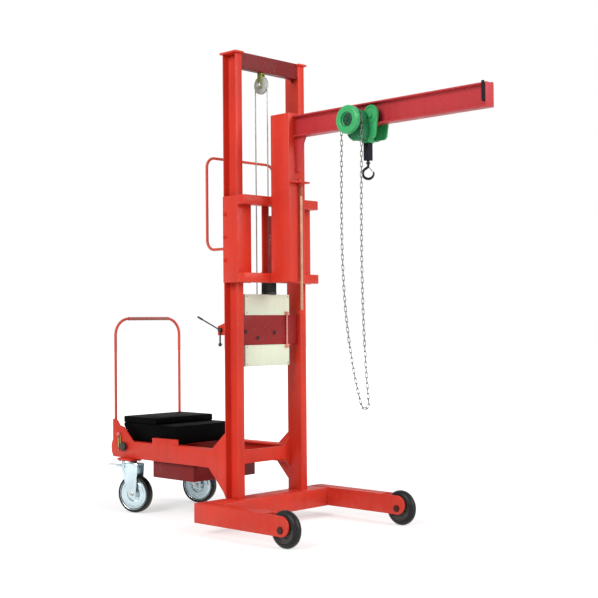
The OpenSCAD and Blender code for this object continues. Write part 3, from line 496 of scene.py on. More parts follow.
def thread(bm, at, axis, diameter, length, pitch=0.0018):
    """A threaded end: close rings with a chamfered tip."""
    r, count = diameter / 2, max(2, int(length / pitch))
    step = length / count
    profile = [(0, 0), (r * 0.86, 0)]
    for ring in range(count):
        profile += [(r, (ring + 0.5) * step), (r * 0.86, (ring + 1) * step)]
    turned(bm, profile + [(0, length)], at, axis, 20)


def screw(bm, at, axis, diameter=0.011):
    """A low domed screw head with a hollow in its middle."""
    r = diameter / 2
    dome = ((0, 0.12), (0.38, 0.12), (0.42, 0.5), (0.7, 0.42), (1, 0.1), (1, 0), (0, 0))
    turned(bm, [(r * out, r * up) for out, up in dome], at, axis, 20)


def bead(bm, start, end, radius):
    """A weld bead between two points, rippled along its length."""
    start, end = Vector(start), Vector(end)
    l = (end - start).length
    ripple = 0.005
    count = max(3, int(l / ripple))
    profile = [(0, 0), (radius * 0.6, 0)]
    for ring in range(count):
        at = (ring + 0.5) * l / count
        profile += [(radius * (0.92 + 0.1 * math.sin(2.3 * ring)), at)]
        profile += [(radius * 0.82, at + 0.42 * l / count)]
    turned(bm, profile + [(0, l)], start, end - start, 8)


def swept(bm, path, radii, steps):
    """A bar of changing thickness along a path in the x-z plane, with closed ends."""
    part = bmesh.new()
    loops = []
    for index, (point, radius) in enumerate(zip(path, radii)):
        ahead = path[min(index + 1, len(path) - 1)] - path[max(index - 1, 0)]
        ring = bmesh.ops.create_circle(part, segments=steps, radius=radius)["verts"]
        side = Y.cross(ahead.normalized())
        turn = Matrix((side, Y, side.cross(Y))).transposed().to_4x4()
        bmesh.ops.transform(part, matrix=Matrix.Translation(point) @ turn, verts=ring)
        loops.append(ring)
    for first, second in zip(loops, loops[1:]):
        rims = [e for ring in (first, second) for e in edges_of(ring)]
        bmesh.ops.bridge_loops(part, edges=rims)
    for ring in (loops[0], loops[-1]):
        part.faces.new(ring)
    put(bm, part)


def edges_of(ring):
    """The edges between neighbours of a ring of vertices."""
    inside = set(ring)
    return list({e for vert in ring for e in vert.link_edges if e.other_vert(vert) in inside})


def soften(name, width, look):
    """A copy of a CAD node with its edges rounded, which stands for the node."""
    bm = bmesh.new()
    bm.from_mesh(NODES[name].data)
    bmesh.ops.remove_doubles(bm, verts=bm.verts, dist=2e-6)
    bmesh.ops.dissolve_limit(bm, angle_limit=math.radians(0.4), verts=bm.verts, edges=bm.edges)
    rims = [e for e in bm.edges if e.is_manifold and e.calc_face_angle(0) > math.radians(40)]
    bevel(bm, rims, width, offset_type="OFFSET", clamp_overlap=True)
    bmesh.ops.triangulate(bm, faces=[face for face in bm.faces if len(face.verts) > 4])
    named(name + "_shell", bm, BODY_OF[name], SLOT_OF[name], look, smooth=28, stands_for=name)


def middle_of(node):
    """The middle of a CAD node's box."""
    lo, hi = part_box(node)
    return (lo + hi) / 2


# ---------------------------------------------------------------- pieces


def sides():
    """The near and the far side, with the sign of y and the names' ending."""
    return ((-1, "near"), (1, "far"))


def outer_y(sign, lo, hi):
    """The y of a box's face that looks away from the middle on one side."""
    return lo.y if sign < 0 else hi.y


def around(count, start=0.0, step=None):
    """The angles of a count of holes or ribs, evenly round or by a step."""
    step = 2 * math.pi / count if step is None else step
    return [start + step * place for place in range(count)]


def mirrored(half):
    """A wheel's profile from its far face to its near face, from the near half."""
    return [(radius, -along) for radius, along in reversed(half)] + half


def round_steelwork():
    """Copies of the painted, cast and pressed CAD pieces with rounded edges."""
    edge = bpy.context.scene.lifter_fittings
    widths = (
        (edge.tube_edge, "base_beam leg_near leg_far rear_beam chassis_box jib_post "
        "carriage_bar_top carriage_bar_low mast_head winch_cover_low winch_cover_top"),
        (edge.channel_edge, "post_near post_far boom carriage_side_near carriage_side_far "
        "hoist_case load_block boom_stops"),
        (edge.plate_edge, "mast_caps mast_tie side_frame_near side_frame_far caster_pads "
        "winch_plate lever_bracket sheave_bracket carriage_strips knee_plate rod_ledge "
        "gear_case brake_pedal_near brake_pedal_far caster_fork_near "
        "caster_fork_far head_sheave"),
        (edge.cast_edge, "counterweight_low counterweight_top"),
    )
    own = {
        # The mast head and the chassis box get the deep red darkened as painted shade.
        "mast_head": "dark red", "chassis_box": "dark red", "winch_plate": "deep red",
        # The boom and the knee plate take the crimson that is darkened as painted shade.
        "boom": "boom red", "knee_plate": "boom red", "hoist_case": "case green",
        "load_block": "black plate", "boom_stops": "black plate",
    }
    for width, names in widths:
        for name in names.split():
            soften(name, width, own.get(name))


def weld_seams():
    """Weld beads where the steelwork meets."""
    r = bpy.context.scene.lifter_fittings.weld
    fixed, lifted, jib = bmesh.new(), bmesh.new(), bmesh.new()
    bar_bead, half_web, half_knee = (0.17, 0.252), 0.0035, 0.0065

    def upright(bm, x, y, low, high, share=1.0):
        bead(bm, (x, y, low), (x, y, high), r * share)

    beam_lo, beam_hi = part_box("base_beam")
    head_lo, head_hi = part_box("mast_head")
    tie_lo, tie_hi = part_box("mast_tie")
    rear_lo, rear_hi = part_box("rear_beam")
    bars = [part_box("carriage_bar_" + end) for end in ("top", "low")]
    for sign, end in sides():
        lo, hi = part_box("post_" + end)
        frame_lo, frame_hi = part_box("side_frame_" + end)
        inner, leg_y = outer_y(-sign, lo, hi), outer_y(-sign, *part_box("leg_" + end))
        plate_y = outer_y(sign, frame_lo, frame_hi) - sign * 0.004
        rear_y = sign * (rear_hi.y - 0.001)
        bead(fixed, (lo.x, inner, lo.z), (hi.x, inner, lo.z), r)
        bead(fixed, (hi.x, lo.y, lo.z), (hi.x, hi.y, lo.z), r)
        upright(fixed, hi.x - 0.007, inner, head_lo.z + 0.03, head_hi.z - 0.012)
        upright(fixed, tie_hi.x, inner, tie_lo.z + 0.004, tie_hi.z - 0.004)
        upright(fixed, lo.x, plate_y, lo.z + 0.01, frame_lo.z + 0.30)
        upright(fixed, rear_hi.x, rear_y, rear_lo.z, rear_hi.z)
        upright(fixed, rear_lo.x, rear_y, rear_lo.z + 0.008, rear_hi.z - 0.002)
        upright(fixed, beam_hi.x, leg_y, beam_lo.z + 0.003, beam_hi.z - 0.003)
        bead(fixed, (beam_lo.x + 0.004, leg_y, beam_hi.z), (beam_hi.x, leg_y, beam_hi.z), r)
        y = outer_y(sign, *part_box("carriage_side_" + end))
        for bar_lo, bar_hi in bars:
            upright(lifted, bar_lo.x, y, bar_lo.z + 0.003, bar_hi.z - 0.003)
            for z in (bar_lo.z, bar_hi.z):
                bead(lifted, *((bar_lo.x, sign * at, z) for at in bar_bead), r * 0.9)
    post_lo, post_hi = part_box("jib_post")
    boom_lo, boom_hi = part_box("boom")
    for bar_lo, bar_hi in bars:
        for y in (post_lo.y, post_hi.y):
            upright(jib, post_lo.x, y, bar_lo.z + 0.002, bar_hi.z - 0.002)
        if bar_hi.z < post_hi.z:
            bead(jib, (post_lo.x, post_lo.y, bar_hi.z), (post_lo.x, post_hi.y, bar_hi.z), r)
    for z in (boom_lo.z, boom_hi.z):
        bead(jib, (post_hi.x, boom_lo.y, z), (post_hi.x, boom_hi.y, z), r)
    knee_lo, knee_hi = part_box("knee_plate")
    for side in (-1, 1):
        web, knee = (middle_of("boom").y + side * away for away in (half_web, half_knee))
        upright(jib, post_hi.x, web, boom_lo.z + 0.01, boom_hi.z - 0.01, 0.9)
        upright(jib, post_hi.x, knee, knee_lo.z + 0.004, knee_hi.z, 0.9)
        bead(jib, (post_hi.x + 0.004, knee, knee_hi.z), (knee_hi.x, knee, knee_hi.z), r * 0.9)
        for y in (boom_lo.y, boom_hi.y):
            upright(jib, post_hi.x, y, boom_lo.z, boom_lo.z + 0.008, 0.8)
    named("frame_welds", fixed, "chassis", "frame_red", "weld")
    named("carriage_welds", lifted, "carriage", "carriage_red", "weld")
    named("jib_welds", jib, "carriage", "jib_red", "weld")


def bolts_and_screws():
    """Hexagon bolts, nuts and cover screws."""
    across = bpy.context.scene.lifter_fittings.bolt
    fixed, lifted = bmesh.new(), bmesh.new()
    rows, inset = (0.11, 0.222, 0.334), 0.012
    pad_y, half_pitch = 0.225, 0.032
    pad_lo, pad_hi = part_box("caster_pads")
    for sign, end in sides():
        lo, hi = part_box("carriage_side_" + end)
        for row in rows:
            at = (lo.x + 0.017, outer_y(sign, lo, hi), lo.z + row)
            bolt(lifted, at, Y * sign, across * 0.85, stud=0.004)
        for x in (pad_lo.x + inset, pad_hi.x - inset):
            for y in (pad_y + half_pitch, pad_y - half_pitch):
                bolt(fixed, (x, sign * y, pad_lo.z), -Z, across * 0.8)
    for cover in ("winch_cover_low", "winch_cover_top"):
        lo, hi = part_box(cover)
        for z in (lo.z + inset, hi.z - inset):
            for y in (lo.y + inset, hi.y - inset):
                screw(fixed, (hi.x, y, z), X)
    named("frame_bolts", fixed, "chassis", "bolt_steel")
    named("carriage_bolts", lifted, "carriage", "carriage_red", "weld")


def dress_winch():
    """Motor with its fins, guide rod and plugs on the plate, lips of the covers."""
    lo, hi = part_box("winch_motor")
    foot = Vector((*middle_of("winch_motor").xy, lo.z))
    r, l = (hi.x - lo.x) / 2, hi.z - lo.z
    core = r * 0.9
    bm = bmesh.new()
    body = [(0, 0), (r, 0), (r, 0.012), (core, 0.016), (core, l - 0.03), (r, l - 0.026)]
    turned(bm, body + [(r, l - 0.006), (r - 0.006, l), (0, l)], foot, Z, 64)
    for angle in around(28):
        turn = Matrix.Translation(foot) @ Matrix.Rotation(angle, 4, "Z")
        block(bm, (core - 0.002, -0.0011, 0.014), (r - 0.0006, 0.0011, l - 0.028), 0.0004, 1, turn)
    bolt(bm, (foot.x, foot.y, hi.z), Z, 0.013, washer=False)
    named("winch_motor_shell", bm, "chassis", "motor_grey", stands_for="winch_motor")

    lo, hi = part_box("winch_plate")
    wide, tall = hi.y - lo.y, hi.z - lo.z
    rod_share, gap = 0.7935, 0.006
    y = lo.y + rod_share * wide
    bm = bmesh.new()
    rod(bm, (hi.x + gap, y, lo.z - gap), (hi.x + gap, y, hi.z + gap), 0.0095)
    for z in (lo.z - 0.012, hi.z + 0.006):
        block(bm, (hi.x, y - 0.009, z - 0.006), (hi.x + 0.012, y + 0.009, z + 0.012), 0.0015)
        bolt(bm, (hi.x + 0.012, y, z + 0.003), X, 0.011, washer=False)
    # Painted reflection: the steel guide rod takes the pink paint for the red it reflects.
    named("plate_guide_rod", bm, "chassis", "bolt_steel", "faded red")

    bm = bmesh.new()
    plug = [(0, 0.001), (0.0048, 0.001), (0.0052, 0.0045), (0.0078, 0.0055), (0.0095, 0.004)]
    for across, up in ((0.09, 0.44), (0.295, 0.23), (0.585, 0.4)):
        at = (hi.x - 0.001, lo.y + across * wide, lo.z + up * tall)
        turned(bm, plug + [(0.0095, 0), (0, 0)], at, X, 28)
    named("plate_plugs", bm, "chassis", "lever_black")

    lo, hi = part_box("winch_cover_top")
    bm = bmesh.new()
    for z in (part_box("winch_cover_low")[1].z - 0.004, lo.z + 0.001):
        low, high = (lo.x - 0.001, lo.y - 0.001, z), (hi.x + 0.001, hi.y + 0.001, z + 0.003)
        block(bm, low, high, 0.0008)
    named("cover_lips", bm, "chassis", "winch_cream")


def front_strand():
    """The rope from the anchor to the sheave, as one straight strand."""
    lo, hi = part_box("rope_front")
    start = Vector((*middle_of("rope_front").xy, lo.z))
    end = Vector((start.x, start.y, hi.z))
    bm = bmesh.new()
    bmesh.ops.create_circle(bm, cap_ends=True, radius=(hi.x - lo.x) / 2, segments=72)
    for vert in bm.verts:
        dent = abs(math.sin(3 * math.atan2(vert.co.y, vert.co.x)))
        vert.co *= 0.84 + 0.16 * math.sqrt(dent)
    extrude(bm, end - start)
    bmesh.ops.translate(bm, verts=bm.verts, vec=start)
    strand = named("front_strand", bm, None, "rope_steel", smooth=50, stands_for="rope_front")
    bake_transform(strand)


def dress_rope():
    """Front strand, clamps, ball and thread of the rope's anchor, and the sheave's nuts."""
    front_strand()
    x, y = middle_of("rope_front").x, middle_of("rope_anchor").y
    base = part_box("rope_anchor")[0].z
    nuts, thread_foot, ball_foot, clamps = (0.062, 0.131), 0.034, 0.1802, (0.208, 0.226)
    bm = bmesh.new()
    for z in nuts:
        turned(bm, [(0, 0), (0.0078, 0), (0.0078, 0.007), (0, 0.007)], (x, y, base + z), Z, 6)
    thread(bm, Vector((x, y, base + thread_foot)), Z, 0.0092, 0.042)
    for z in (base + clamp for clamp in clamps):
        block(bm, (x - 0.0075, y - 0.0065, z), (x + 0.0075, y + 0.0065, z + 0.007), 0.0012)
        bolt(bm, (x + 0.0075, y, z + 0.0035), X, 0.0065, washer=False)
    named("anchor_fittings", bm, "carriage", "bolt_steel")
    bm = bmesh.new()
    r = 0.0088
    angles = around(9, math.pi / 10, math.pi / 10)
    ball = [(r * math.sin(angle), r * (1 - math.cos(angle))) for angle in angles]
    turned(bm, [(0, 0)] + ball + [(0, 2 * r)], (x, y, base + ball_foot), Z, 24)
    named("anchor_ball", bm, "carriage", "bolt_steel", "sheave_steel")
    lo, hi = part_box("sheave_bracket")
    axle = middle_of("head_sheave")
    bm = bmesh.new()
    bolt(bm, (axle.x, lo.y + 0.004, axle.z), -Y, 0.019, stud=0.003)
    bolt(bm, (axle.x, hi.y - 0.004, axle.z), Y, 0.019)
    named("sheave_nuts", bm, "chassis", "bolt_steel")


def joint_place(name):
    """Where a joint turns and its axis, from the record."""
    joint = JOINTS[name]
    return Vector(joint["pos_m"]), Vector(joint["axis"])


def dress_wheels():
    """Tyres, pressed discs, hubs and nuts of the four wheels."""
    for _, end in sides():
        lo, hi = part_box("front_wheel_" + end)
        at, axis = joint_place("wheel_" + end + "_roll")
        r, w = (hi.x - lo.x) / 2, (hi.y - lo.y) * 0.46
        rim = 0.72 * r
        tread = [
            (rim, w * 0.9), (rim + 0.002, w), (r - 0.022, w), (r - 0.014, w * 0.93),
            (r - 0.007, w * 0.78), (r - 0.002, w * 0.5), (r, w * 0.2),
        ]
        far = mirrored(tread)[:len(tread)]
        bm = bmesh.new()
        turned(bm, [(r, 0)] + far + [(rim, 0)] + tread + [(r, 0)], at, axis, 96)
        node = "front_wheel_" + end
        named("front_tyre_" + end, bm, "wheel_" + end, "front_tyre", stands_for=node)
        bore, hub, dish = 0.0101, 0.024, w * 0.62
        profile = mirrored([
            (bore, w + 0.002), (hub, w + 0.002), (hub + 0.002, w), (hub + 0.004, dish),
            (rim - 0.008, dish), (rim - 0.004, w * 0.86), (rim + 0.0004, w * 0.9),
        ])
        bm = bmesh.new()
        turned(bm, profile + profile[:1], at, axis, 72)
        for angle in around(5):
            for side in (-1, 1):
                spoke = Vector((math.cos(angle), 0, math.sin(angle))) * r * 0.47
                screw(bm, at + axis * side * dish + spoke, axis * side, 0.012)
        named("front_hub_" + end, bm, "wheel_" + end, "bolt_steel", "hub grey")
        dress_caster(end)


def dress_caster(end):
    """Tyre, discs and axle nuts of one caster, and its fork's race."""
    at, axis = joint_place("caster_" + end + "_roll")
    body, node = "caster_" + end, "caster_wheel_" + end
    r, w = (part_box(node)[1].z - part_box(node)[0].z) / 2, 0.0225
    nut_out, pin_out, pin_across = 0.0336, 0.0405, 0.0119
    rim = r * 0.77
    tread = [
        (rim, w * 0.84), (rim + 0.003, w * 0.93), (r * 0.9, w), (r * 0.955, w * 0.92),
        (r * 0.985, w * 0.72), (r, w * 0.4),
    ]
    far = mirrored(tread)[:len(tread)]
    bm = bmesh.new()
    turned(bm, far + [(rim, -w * 0.4), (rim, w * 0.4)] + tread + far[:1], at, axis, 112)
    named("caster_tyre_" + end, bm, body, "caster_tyre", stands_for=node)
    outer = rim + 0.007
    disc = [
        (0, 0.3), (0.012, 0.3), (0.012, 0.55), (outer * 0.42, 0.62), (outer * 0.5, 0.9),
        (outer * 0.74, 0.96), (outer * 0.8, 0.8), (outer * 0.93, 0.86), (outer, 0.98),
        (outer, 0.9), (outer * 0.9, 0.7), (outer * 0.5, 0.5), (0, 0.2),
    ]
    boss = [(0, 0.3), (0.02, 0.3), (0.02, 1.12), (0.016, 1.2), (0, 1.2)]
    bm, nuts = bmesh.new(), bmesh.new()
    for side in (-1, 1):
        for profile, steps in ((disc, 72), (boss, 40)):
            turned(bm, [(radius, w * share) for radius, share in profile], at, axis * side, steps)
        bolt(nuts, at + axis * side * nut_out, axis * side, 0.0155, stud=0.003)
    rod(bm, at - axis * pin_out, at + axis * pin_out, pin_across)
    named("caster_discs_" + end, bm, body, "caster_zinc")
    named("caster_nuts_" + end, nuts, body, "bolt_steel")

    pin = joint_place("fork_" + end + "_swivel")[0]
    top = Vector((pin.x, pin.y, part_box("caster_fork_" + end)[1].z))
    race = [(0, -0.026), (0.030, -0.026), (0.034, -0.018), (0.037, -0.014), (0.041, -0.012)]
    race += [(0.043, -0.007), (0.041, -0.002), (0.037, -0.0005), (0, -0.0005)]
    bm = bmesh.new()
    turned(bm, race, top, Z, 56)
    turned(bm, [(0, -0.044), (0.014, -0.044), (0.017, -0.04), (0.017, -0.02), (0, -0.02)], top, Z, 32)
    named("fork_race_" + end, bm, "fork_" + end, "caster_zinc")


def grip_sleeve(bm, start, end, diameter, ribs):
    """A soft sleeve on a tube, rounded at its ends, with shallow ribs."""
    start, end = Vector(start), Vector(end)
    r, l = diameter / 2, (end - start).length
    step = (l - 2 * r) / ribs
    profile = [(r * 0.62, 0), (r * 0.9, 0), (r, r * 0.3)]
    for rib in range(ribs):
        at = r + step * rib
        profile += [(r, at), (r * 0.93, at + step * 0.3), (r * 0.93, at + step * 0.7), (r, at + step)]
    profile += [(r, l - r * 0.3), (r * 0.9, l), (r * 0.62, l), (r * 0.62, 0)]
    turned(bm, profile, start, end - start, 32)


def dress_handles():
    """Sleeve and collars of the push handle, clamp and knob on the near rear corner."""
    lo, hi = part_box("push_handle")
    x, tube_r = middle_of("push_handle").x, (hi.x - lo.x) / 2
    z = hi.z - tube_r
    bm = bmesh.new()
    grip_sleeve(bm, (x, -0.138, z), (x, 0.145, z), 0.0195, 14)
    named("push_grip", bm, "chassis", "frame_red", "grip brown")
    bore = 0.0074
    collar = [(bore, 0), (0.0105, 0), (0.011, 0.001), (0.011, 0.009), (0.0105, 0.01)]
    collar += [(bore, 0.01), (bore, 0)]
    bm = bmesh.new()
    for sign, _ in sides():
        for up in (0.004, 0.05, 0.092):
            turned(bm, collar, (x, sign * (hi.y - tube_r), lo.z + up), Z, 28)
    named("push_handle_collars", bm, "chassis", "frame_red")

    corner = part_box("side_frame_near")[0]
    inward, low, high = 0.074, 0.187, 0.258
    x, face, z0, z1 = corner.x + inward, corner.y, corner.z + low, corner.z + high
    bm = bmesh.new()
    for z in (z0 - 0.006, z1 - 0.016):
        block(bm, (x - 0.011, face - 0.014, z), (x + 0.011, face + 0.001, z + 0.008), 0.0012)
    named("clamp_lugs", bm, "chassis", "frame_red")
    bm = bmesh.new()
    thread(bm, Vector((x, face - 0.008, z0 - 0.012)), Z, 0.008, z1 - z0 + 0.02, 0.0022)
    rod(bm, (x + 0.014, face - 0.007, z0 - 0.004), (x + 0.014, face - 0.007, z1 - 0.002), 0.005)
    named("clamp_screws", bm, "chassis", "strap_yellow", "olive brass")
    bm = bmesh.new()
    cap = [(0, 0), (0.0085, 0), (0.0092, 0.002), (0.0092, 0.012), (0.007, 0.015), (0, 0.0155)]
    turned(bm, cap, (x, face - 0.0085, z1 - 0.004), Z, 28)
    named("clamp_cap", bm, "chassis", "frame_red", "faded red")
    knob = Vector((x + 0.047, face, z0 + 0.012))
    shape = [(0, 0), (0.008, 0), (0.008, 0.007), (0.019, 0.009), (0.021, 0.012)]
    shape += [(0.021, 0.019), (0.018, 0.022), (0.006, 0.023), (0, 0.023)]
    nub = [(0, 0), (0.0045, 0), (0.0052, 0.001), (0.0052, 0.01), (0.004, 0.012), (0, 0.012)]
    bm = bmesh.new()
    turned(bm, shape, knob, -Y, 40)
    for angle in around(7):
        spot = Vector((0.0205 * math.cos(angle), -0.009, 0.0205 * math.sin(angle)))
        turned(bm, nub, knob + spot, -Y, 14)
    named("clamp_knob", bm, "chassis", "lever_black")


def dress_carriage():
    """Roller shields, the guard behind the rope, and the hanging rod with its nuts."""
    shield = [(0.012, 0), (0.036, 0), (0.036, -0.0015), (0.03, -0.002), (0.014, -0.002), (0.012, 0)]
    bm = bmesh.new()
    for sign, end in sides():
        lo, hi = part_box("carriage_side_" + end)
        inner = outer_y(sign, *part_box("post_" + end))
        for z in (lo.z + 0.06, hi.z - 0.06):
            at = (middle_of("post_" + end).x, inner + sign * 0.003, z)
            turned(bm, shield, at, Y * sign, 40)
    named("roller_shields", bm, "carriage", "bolt_steel")

    lo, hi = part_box("carriage_strips")
    room = 0.008
    top = min(hi.z - 0.002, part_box("head_sheave")[0].z - JOINTS["lift"]["range_m"][1] - room)
    bm = bmesh.new()
    block(bm, (hi.x - 0.024, -0.0462, lo.z + 0.002), (hi.x - 0.0215, 0.002, top), 0.0006)
    block(bm, (hi.x - 0.022, -0.0462, lo.z + 0.002), (hi.x - 0.004, -0.0442, top), 0.0006)
    named("rope_guard", bm, "carriage", "carriage_red")

    lo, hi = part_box("hanging_rod")
    x, y = middle_of("hanging_rod").xy
    ledge_lo, ledge_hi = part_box("rod_ledge")
    thread_z, diameter = ledge_lo.z - 0.06, 0.014
    bm = bmesh.new()
    rod(bm, (x, y, lo.z + 0.002), (x, y, thread_z), diameter, 28)
    thread(bm, Vector((x, y, thread_z)), Z, diameter, hi.z - thread_z)
    named("hanging_rod_shell", bm, "carriage", "rod_steel", stands_for="hanging_rod")
    bm = bmesh.new()
    bolt(bm, (x, y, ledge_lo.z), -Z, 0.0205)
    bolt(bm, (x, y, ledge_hi.z), Z, 0.0205)
    named("rod_nuts", bm, "carriage", "jib_red")
    bm = bmesh.new()
    collar = [(0, 0), (0.0105, 0), (0.012, 0.0015), (0.012, 0.0185), (0.0105, 0.02), (0, 0.02)]
    turned(bm, collar, (x, y, lo.z), Z, 36)
    named("rod_collar", bm, "carriage", "jib_red")


def dress_hoist():
    """The chain hoist: cover, trolley, cases, load block, chain and hook."""
    dress_cover()
    dress_trolley()
    dress_cases()
    hang_chain()
    forge_hook()


def dress_cover():
    """The cover of the hand wheel, its sunk middle and its screws."""
    lo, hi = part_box("hand_wheel_cover")
    x, _, z = middle_of("hand_wheel_cover")
    r, deep = (hi.x - lo.x) / 2, hi.y - lo.y
    shape = [
        (0, 0.5), (0.030, 0.5), (0.033, 0.56), (0.035, 0.9), (0.037, 0.965), (0.040, 1),
        (r - 0.014, 1), (r - 0.007, 0.955), (r - 0.002, 0.84), (r, 0.68), (r, 0.1),
        (r - 0.0015, 0.03), (r - 0.004, 0.03), (r - 0.0045, 0.66), (r - 0.01, 0.83),
        (0.043, 0.85), (0.038, 0.38), (0, 0.36),
    ]
    bm = bmesh.new()
    turned(bm, [(radius, share * deep) for radius, share in shape], (x, hi.y, z), -Y, 112)
    named("hand_wheel_cover_shell", bm, "trolley", "hoist_green", stands_for="hand_wheel_cover")
    front = hi.y - 0.5 * deep
    bm = bmesh.new()
    disc = [(0, 0), (0.0295, 0), (0.0295, 0.0012), (0.024, 0.0026), (0.012, 0.003), (0, 0.003)]
    turned(bm, disc, (x, front, z), -Y, 56)
    for angle in around(6):
        turn = Matrix.Translation((x, front - 0.003, z)) @ Matrix.Rotation(angle, 4, "Y")
        block(bm, (0.008, -0.002, -0.0022), (0.027, 0.0005, 0.0022), 0.0008, 1, turn)
    bolt(bm, (x, front - 0.003, z), -Y, 0.011)
    named("cover_recess", bm, "trolley", "gear_green", "shaded green")
    bm = bmesh.new()
    circle = 0.046
    for angle in around(3, math.pi / 2):
        at = (x + circle * math.cos(angle), lo.y + 0.0004, z + circle * math.sin(angle))
        screw(bm, at, -Y, 0.009)
    named("cover_screws", bm, "trolley", "hoist_green")


def dress_trolley():
    """The trolley's plates, its four wheels, their nuts and the lips round them."""
    frame_lo, frame_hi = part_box("trolley_frame")
    cut_trolley_plates(frame_lo, frame_hi)
    lo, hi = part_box("trolley_wheels")
    middle, centre = middle_of("trolley_frame").y, middle_of("trolley_wheels")
    r = (hi.z - lo.z) / 2
    half_base = (hi.x - lo.x) / 2 - r
    tread = [(0, 0), (r * 0.8, 0), (r, 0.0005), (r, 0.0035), (r * 0.93, 0.005), (r * 0.9, 0.0195)]
    tread += [(r * 0.86, 0.0207), (0, 0.0207)]
    lip = [(0.0325, 0), (0.0415, 0), (0.0415, 0.0016), (0.0395, 0.0032), (0.0345, 0.0032)]
    lip += [(0.0325, 0.0016), (0.0325, 0)]
    wheels, nuts, lips = bmesh.new(), bmesh.new(), bmesh.new()
    for side in (-1, 1):
        inner, outer = middle + side * (hi.y - middle), middle + side * (frame_hi.y - middle)
        for x in (centre.x - half_base, centre.x + half_base):
            turned(wheels, tread, (x, inner, centre.z), -Y * side, 56)
            bolt(nuts, (x, outer, centre.z), Y * side, 0.017, stud=0.002)
            turned(lips, lip, (x, outer, centre.z + 0.008), Y * side, 56)
    named("trolley_wheels_shell", wheels, "trolley", "bolt_steel", stands_for="trolley_wheels")
    named("trolley_nuts", nuts, "trolley", "hoist_green")
    named("trolley_lips", lips, "trolley", "hoist_green")


def dress_cases():
    """The gear case's lid, the cases' screws, and the bolts and strip of the load block."""
    lo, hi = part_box("gear_case")
    x, _, z = middle_of("gear_case")
    r = (hi.x - lo.x) / 2
    lid = [(0, 0), (r * 0.72, 0), (r * 0.76, -0.002), (r * 0.76, -0.006), (0, -0.006)]
    bm = bmesh.new()
    turned(bm, lid, (x, hi.y, z), Y, 64)
    named("gear_case_lid", bm, "trolley", "gear_green")
    bm = bmesh.new()
    circle = 0.85 * r
    for angle in around(6):
        at = (x + circle * math.cos(angle), hi.y - 0.004, z + circle * math.sin(angle))
        screw(bm, at, Y, 0.009)
    case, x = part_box("hoist_case")[0], middle_of("trolley_wheels").x
    circle, centre = 0.041, case.z + 0.05
    for angle in around(4, math.radians(225), math.radians(30)):
        at = (x + circle * math.cos(angle), case.y, centre + circle * math.sin(angle))
        screw(bm, at, -Y, 0.008)
    named("case_screws", bm, "trolley", "gear_green", "shaded green")

    lo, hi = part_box("load_block")
    x = middle_of("load_block").x
    bm = bmesh.new()
    for y, side in ((lo.y, -1), (hi.y, 1)):
        bolt(bm, (x, y, lo.z + 0.019), Y * side, 0.0115, washer=False)
        bolt(bm, (x, y, hi.z - 0.014), Y * side, 0.0095, washer=False)
    named("block_bolts", bm, "trolley", "hook_steel")
    bm = bmesh.new()
    low, high = (lo.x - 0.0022, lo.y + 0.004, lo.z + 0.004), (lo.x + 0.001, hi.y - 0.004)
    block(bm, low, (*high, hi.z - 0.003), 0.0008)
    named("block_side_strip", bm, "trolley", "bolt_steel", "dull strip")


def arc(x, z, r, start, end, steps):
    """Points of an arc round a centre, from one angle to another."""
    angles = [math.radians(start + (end - start) * step / steps) for step in range(steps + 1)]
    return [(x + r * math.cos(angle), z + r * math.sin(angle)) for angle in angles]


def cut_trolley_plates(lo, hi):
    """Side plates with two lobes over a rounded foot, their shaft and the hanger."""
    lobe, thick, corner = 0.042, 0.008, 0.022
    half, axle_z = (hi.x - lo.x) / 2 - lobe, hi.z - lobe
    centre, middle, _ = middle_of("trolley_frame")
    foot = lo.z + 0.018 - axle_z + corner
    outline = arc(half, 0, lobe, -10, 125, 18) + arc(0, 0.036, 0.030, -3, -177, 16)
    outline += arc(-half, 0, lobe, 55, 190, 18)
    outline += arc(-0.046, foot, corner, 180, 270, 8) + arc(0.060, foot, corner, 270, 360, 8)
    bm = bmesh.new()
    for y in (lo.y + thick, hi.y):
        place = Matrix.Translation((centre, y, axle_z)) @ Matrix.Rotation(math.pi / 2, 4, "X")
        plate(bm, outline, thick, place, 0.0012)
    shaft_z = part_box("boom")[0].z - 0.022
    rod(bm, (centre, lo.y, shaft_z), (centre, hi.y, shaft_z), 0.024)
    low = (centre - 0.02, middle - 0.022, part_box("load_block")[1].z)
    block(bm, low, (centre + 0.02, middle + 0.022, shaft_z + 0.004))
    named("trolley_frame_shell", bm, "trolley", "hoist_green", stands_for="trolley_frame")


def hang_chain():
    """The hand chain: slimmer links, and the loop swung towards the mast and let down a little."""
    swing, slimmer = Vector((-0.0225, 0, -0.012)), 0.34
    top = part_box("hand_chain_back")[1].z - 0.12
    for name in ("hand_chain_back", "hand_chain_front"):
        bm = bmesh.new()
        bm.from_mesh(NODES[name].data)
        bmesh.ops.remove_doubles(bm, verts=bm.verts, dist=2e-6)
        for link in links_of(bm):
            middle = sum((vert.co for vert in link), Vector()) / len(link)
            arms = [vert.co - middle for vert in link]
            along = max(arms, key=lambda arm: arm.length).normalized()
            flat = [arm - along * along.dot(arm) for arm in arms]
            across = max(flat, key=lambda arm: arm.length).normalized()
            drop = max(0, top - middle.z)
            for vert, arm in zip(link, arms):
                vert.co += swing * drop - across * across.dot(arm) * slimmer
        named(name + "_links", bm, "trolley", SLOT_OF[name], smooth=50, stands_for=name)


def links_of(bm):
    """The loose links of a chain, each as its vertices."""
    seen = set()
    for start in bm.verts:
        if start in seen:
            continue
        link, edge = [], [start]
        seen.add(start)
        while edge:
            vert = edge.pop()
            link.append(vert)
            for near in (side.other_vert(vert) for side in vert.link_edges):
                if near not in seen:
                    seen.add(near)
                    edge.append(near)
        yield link


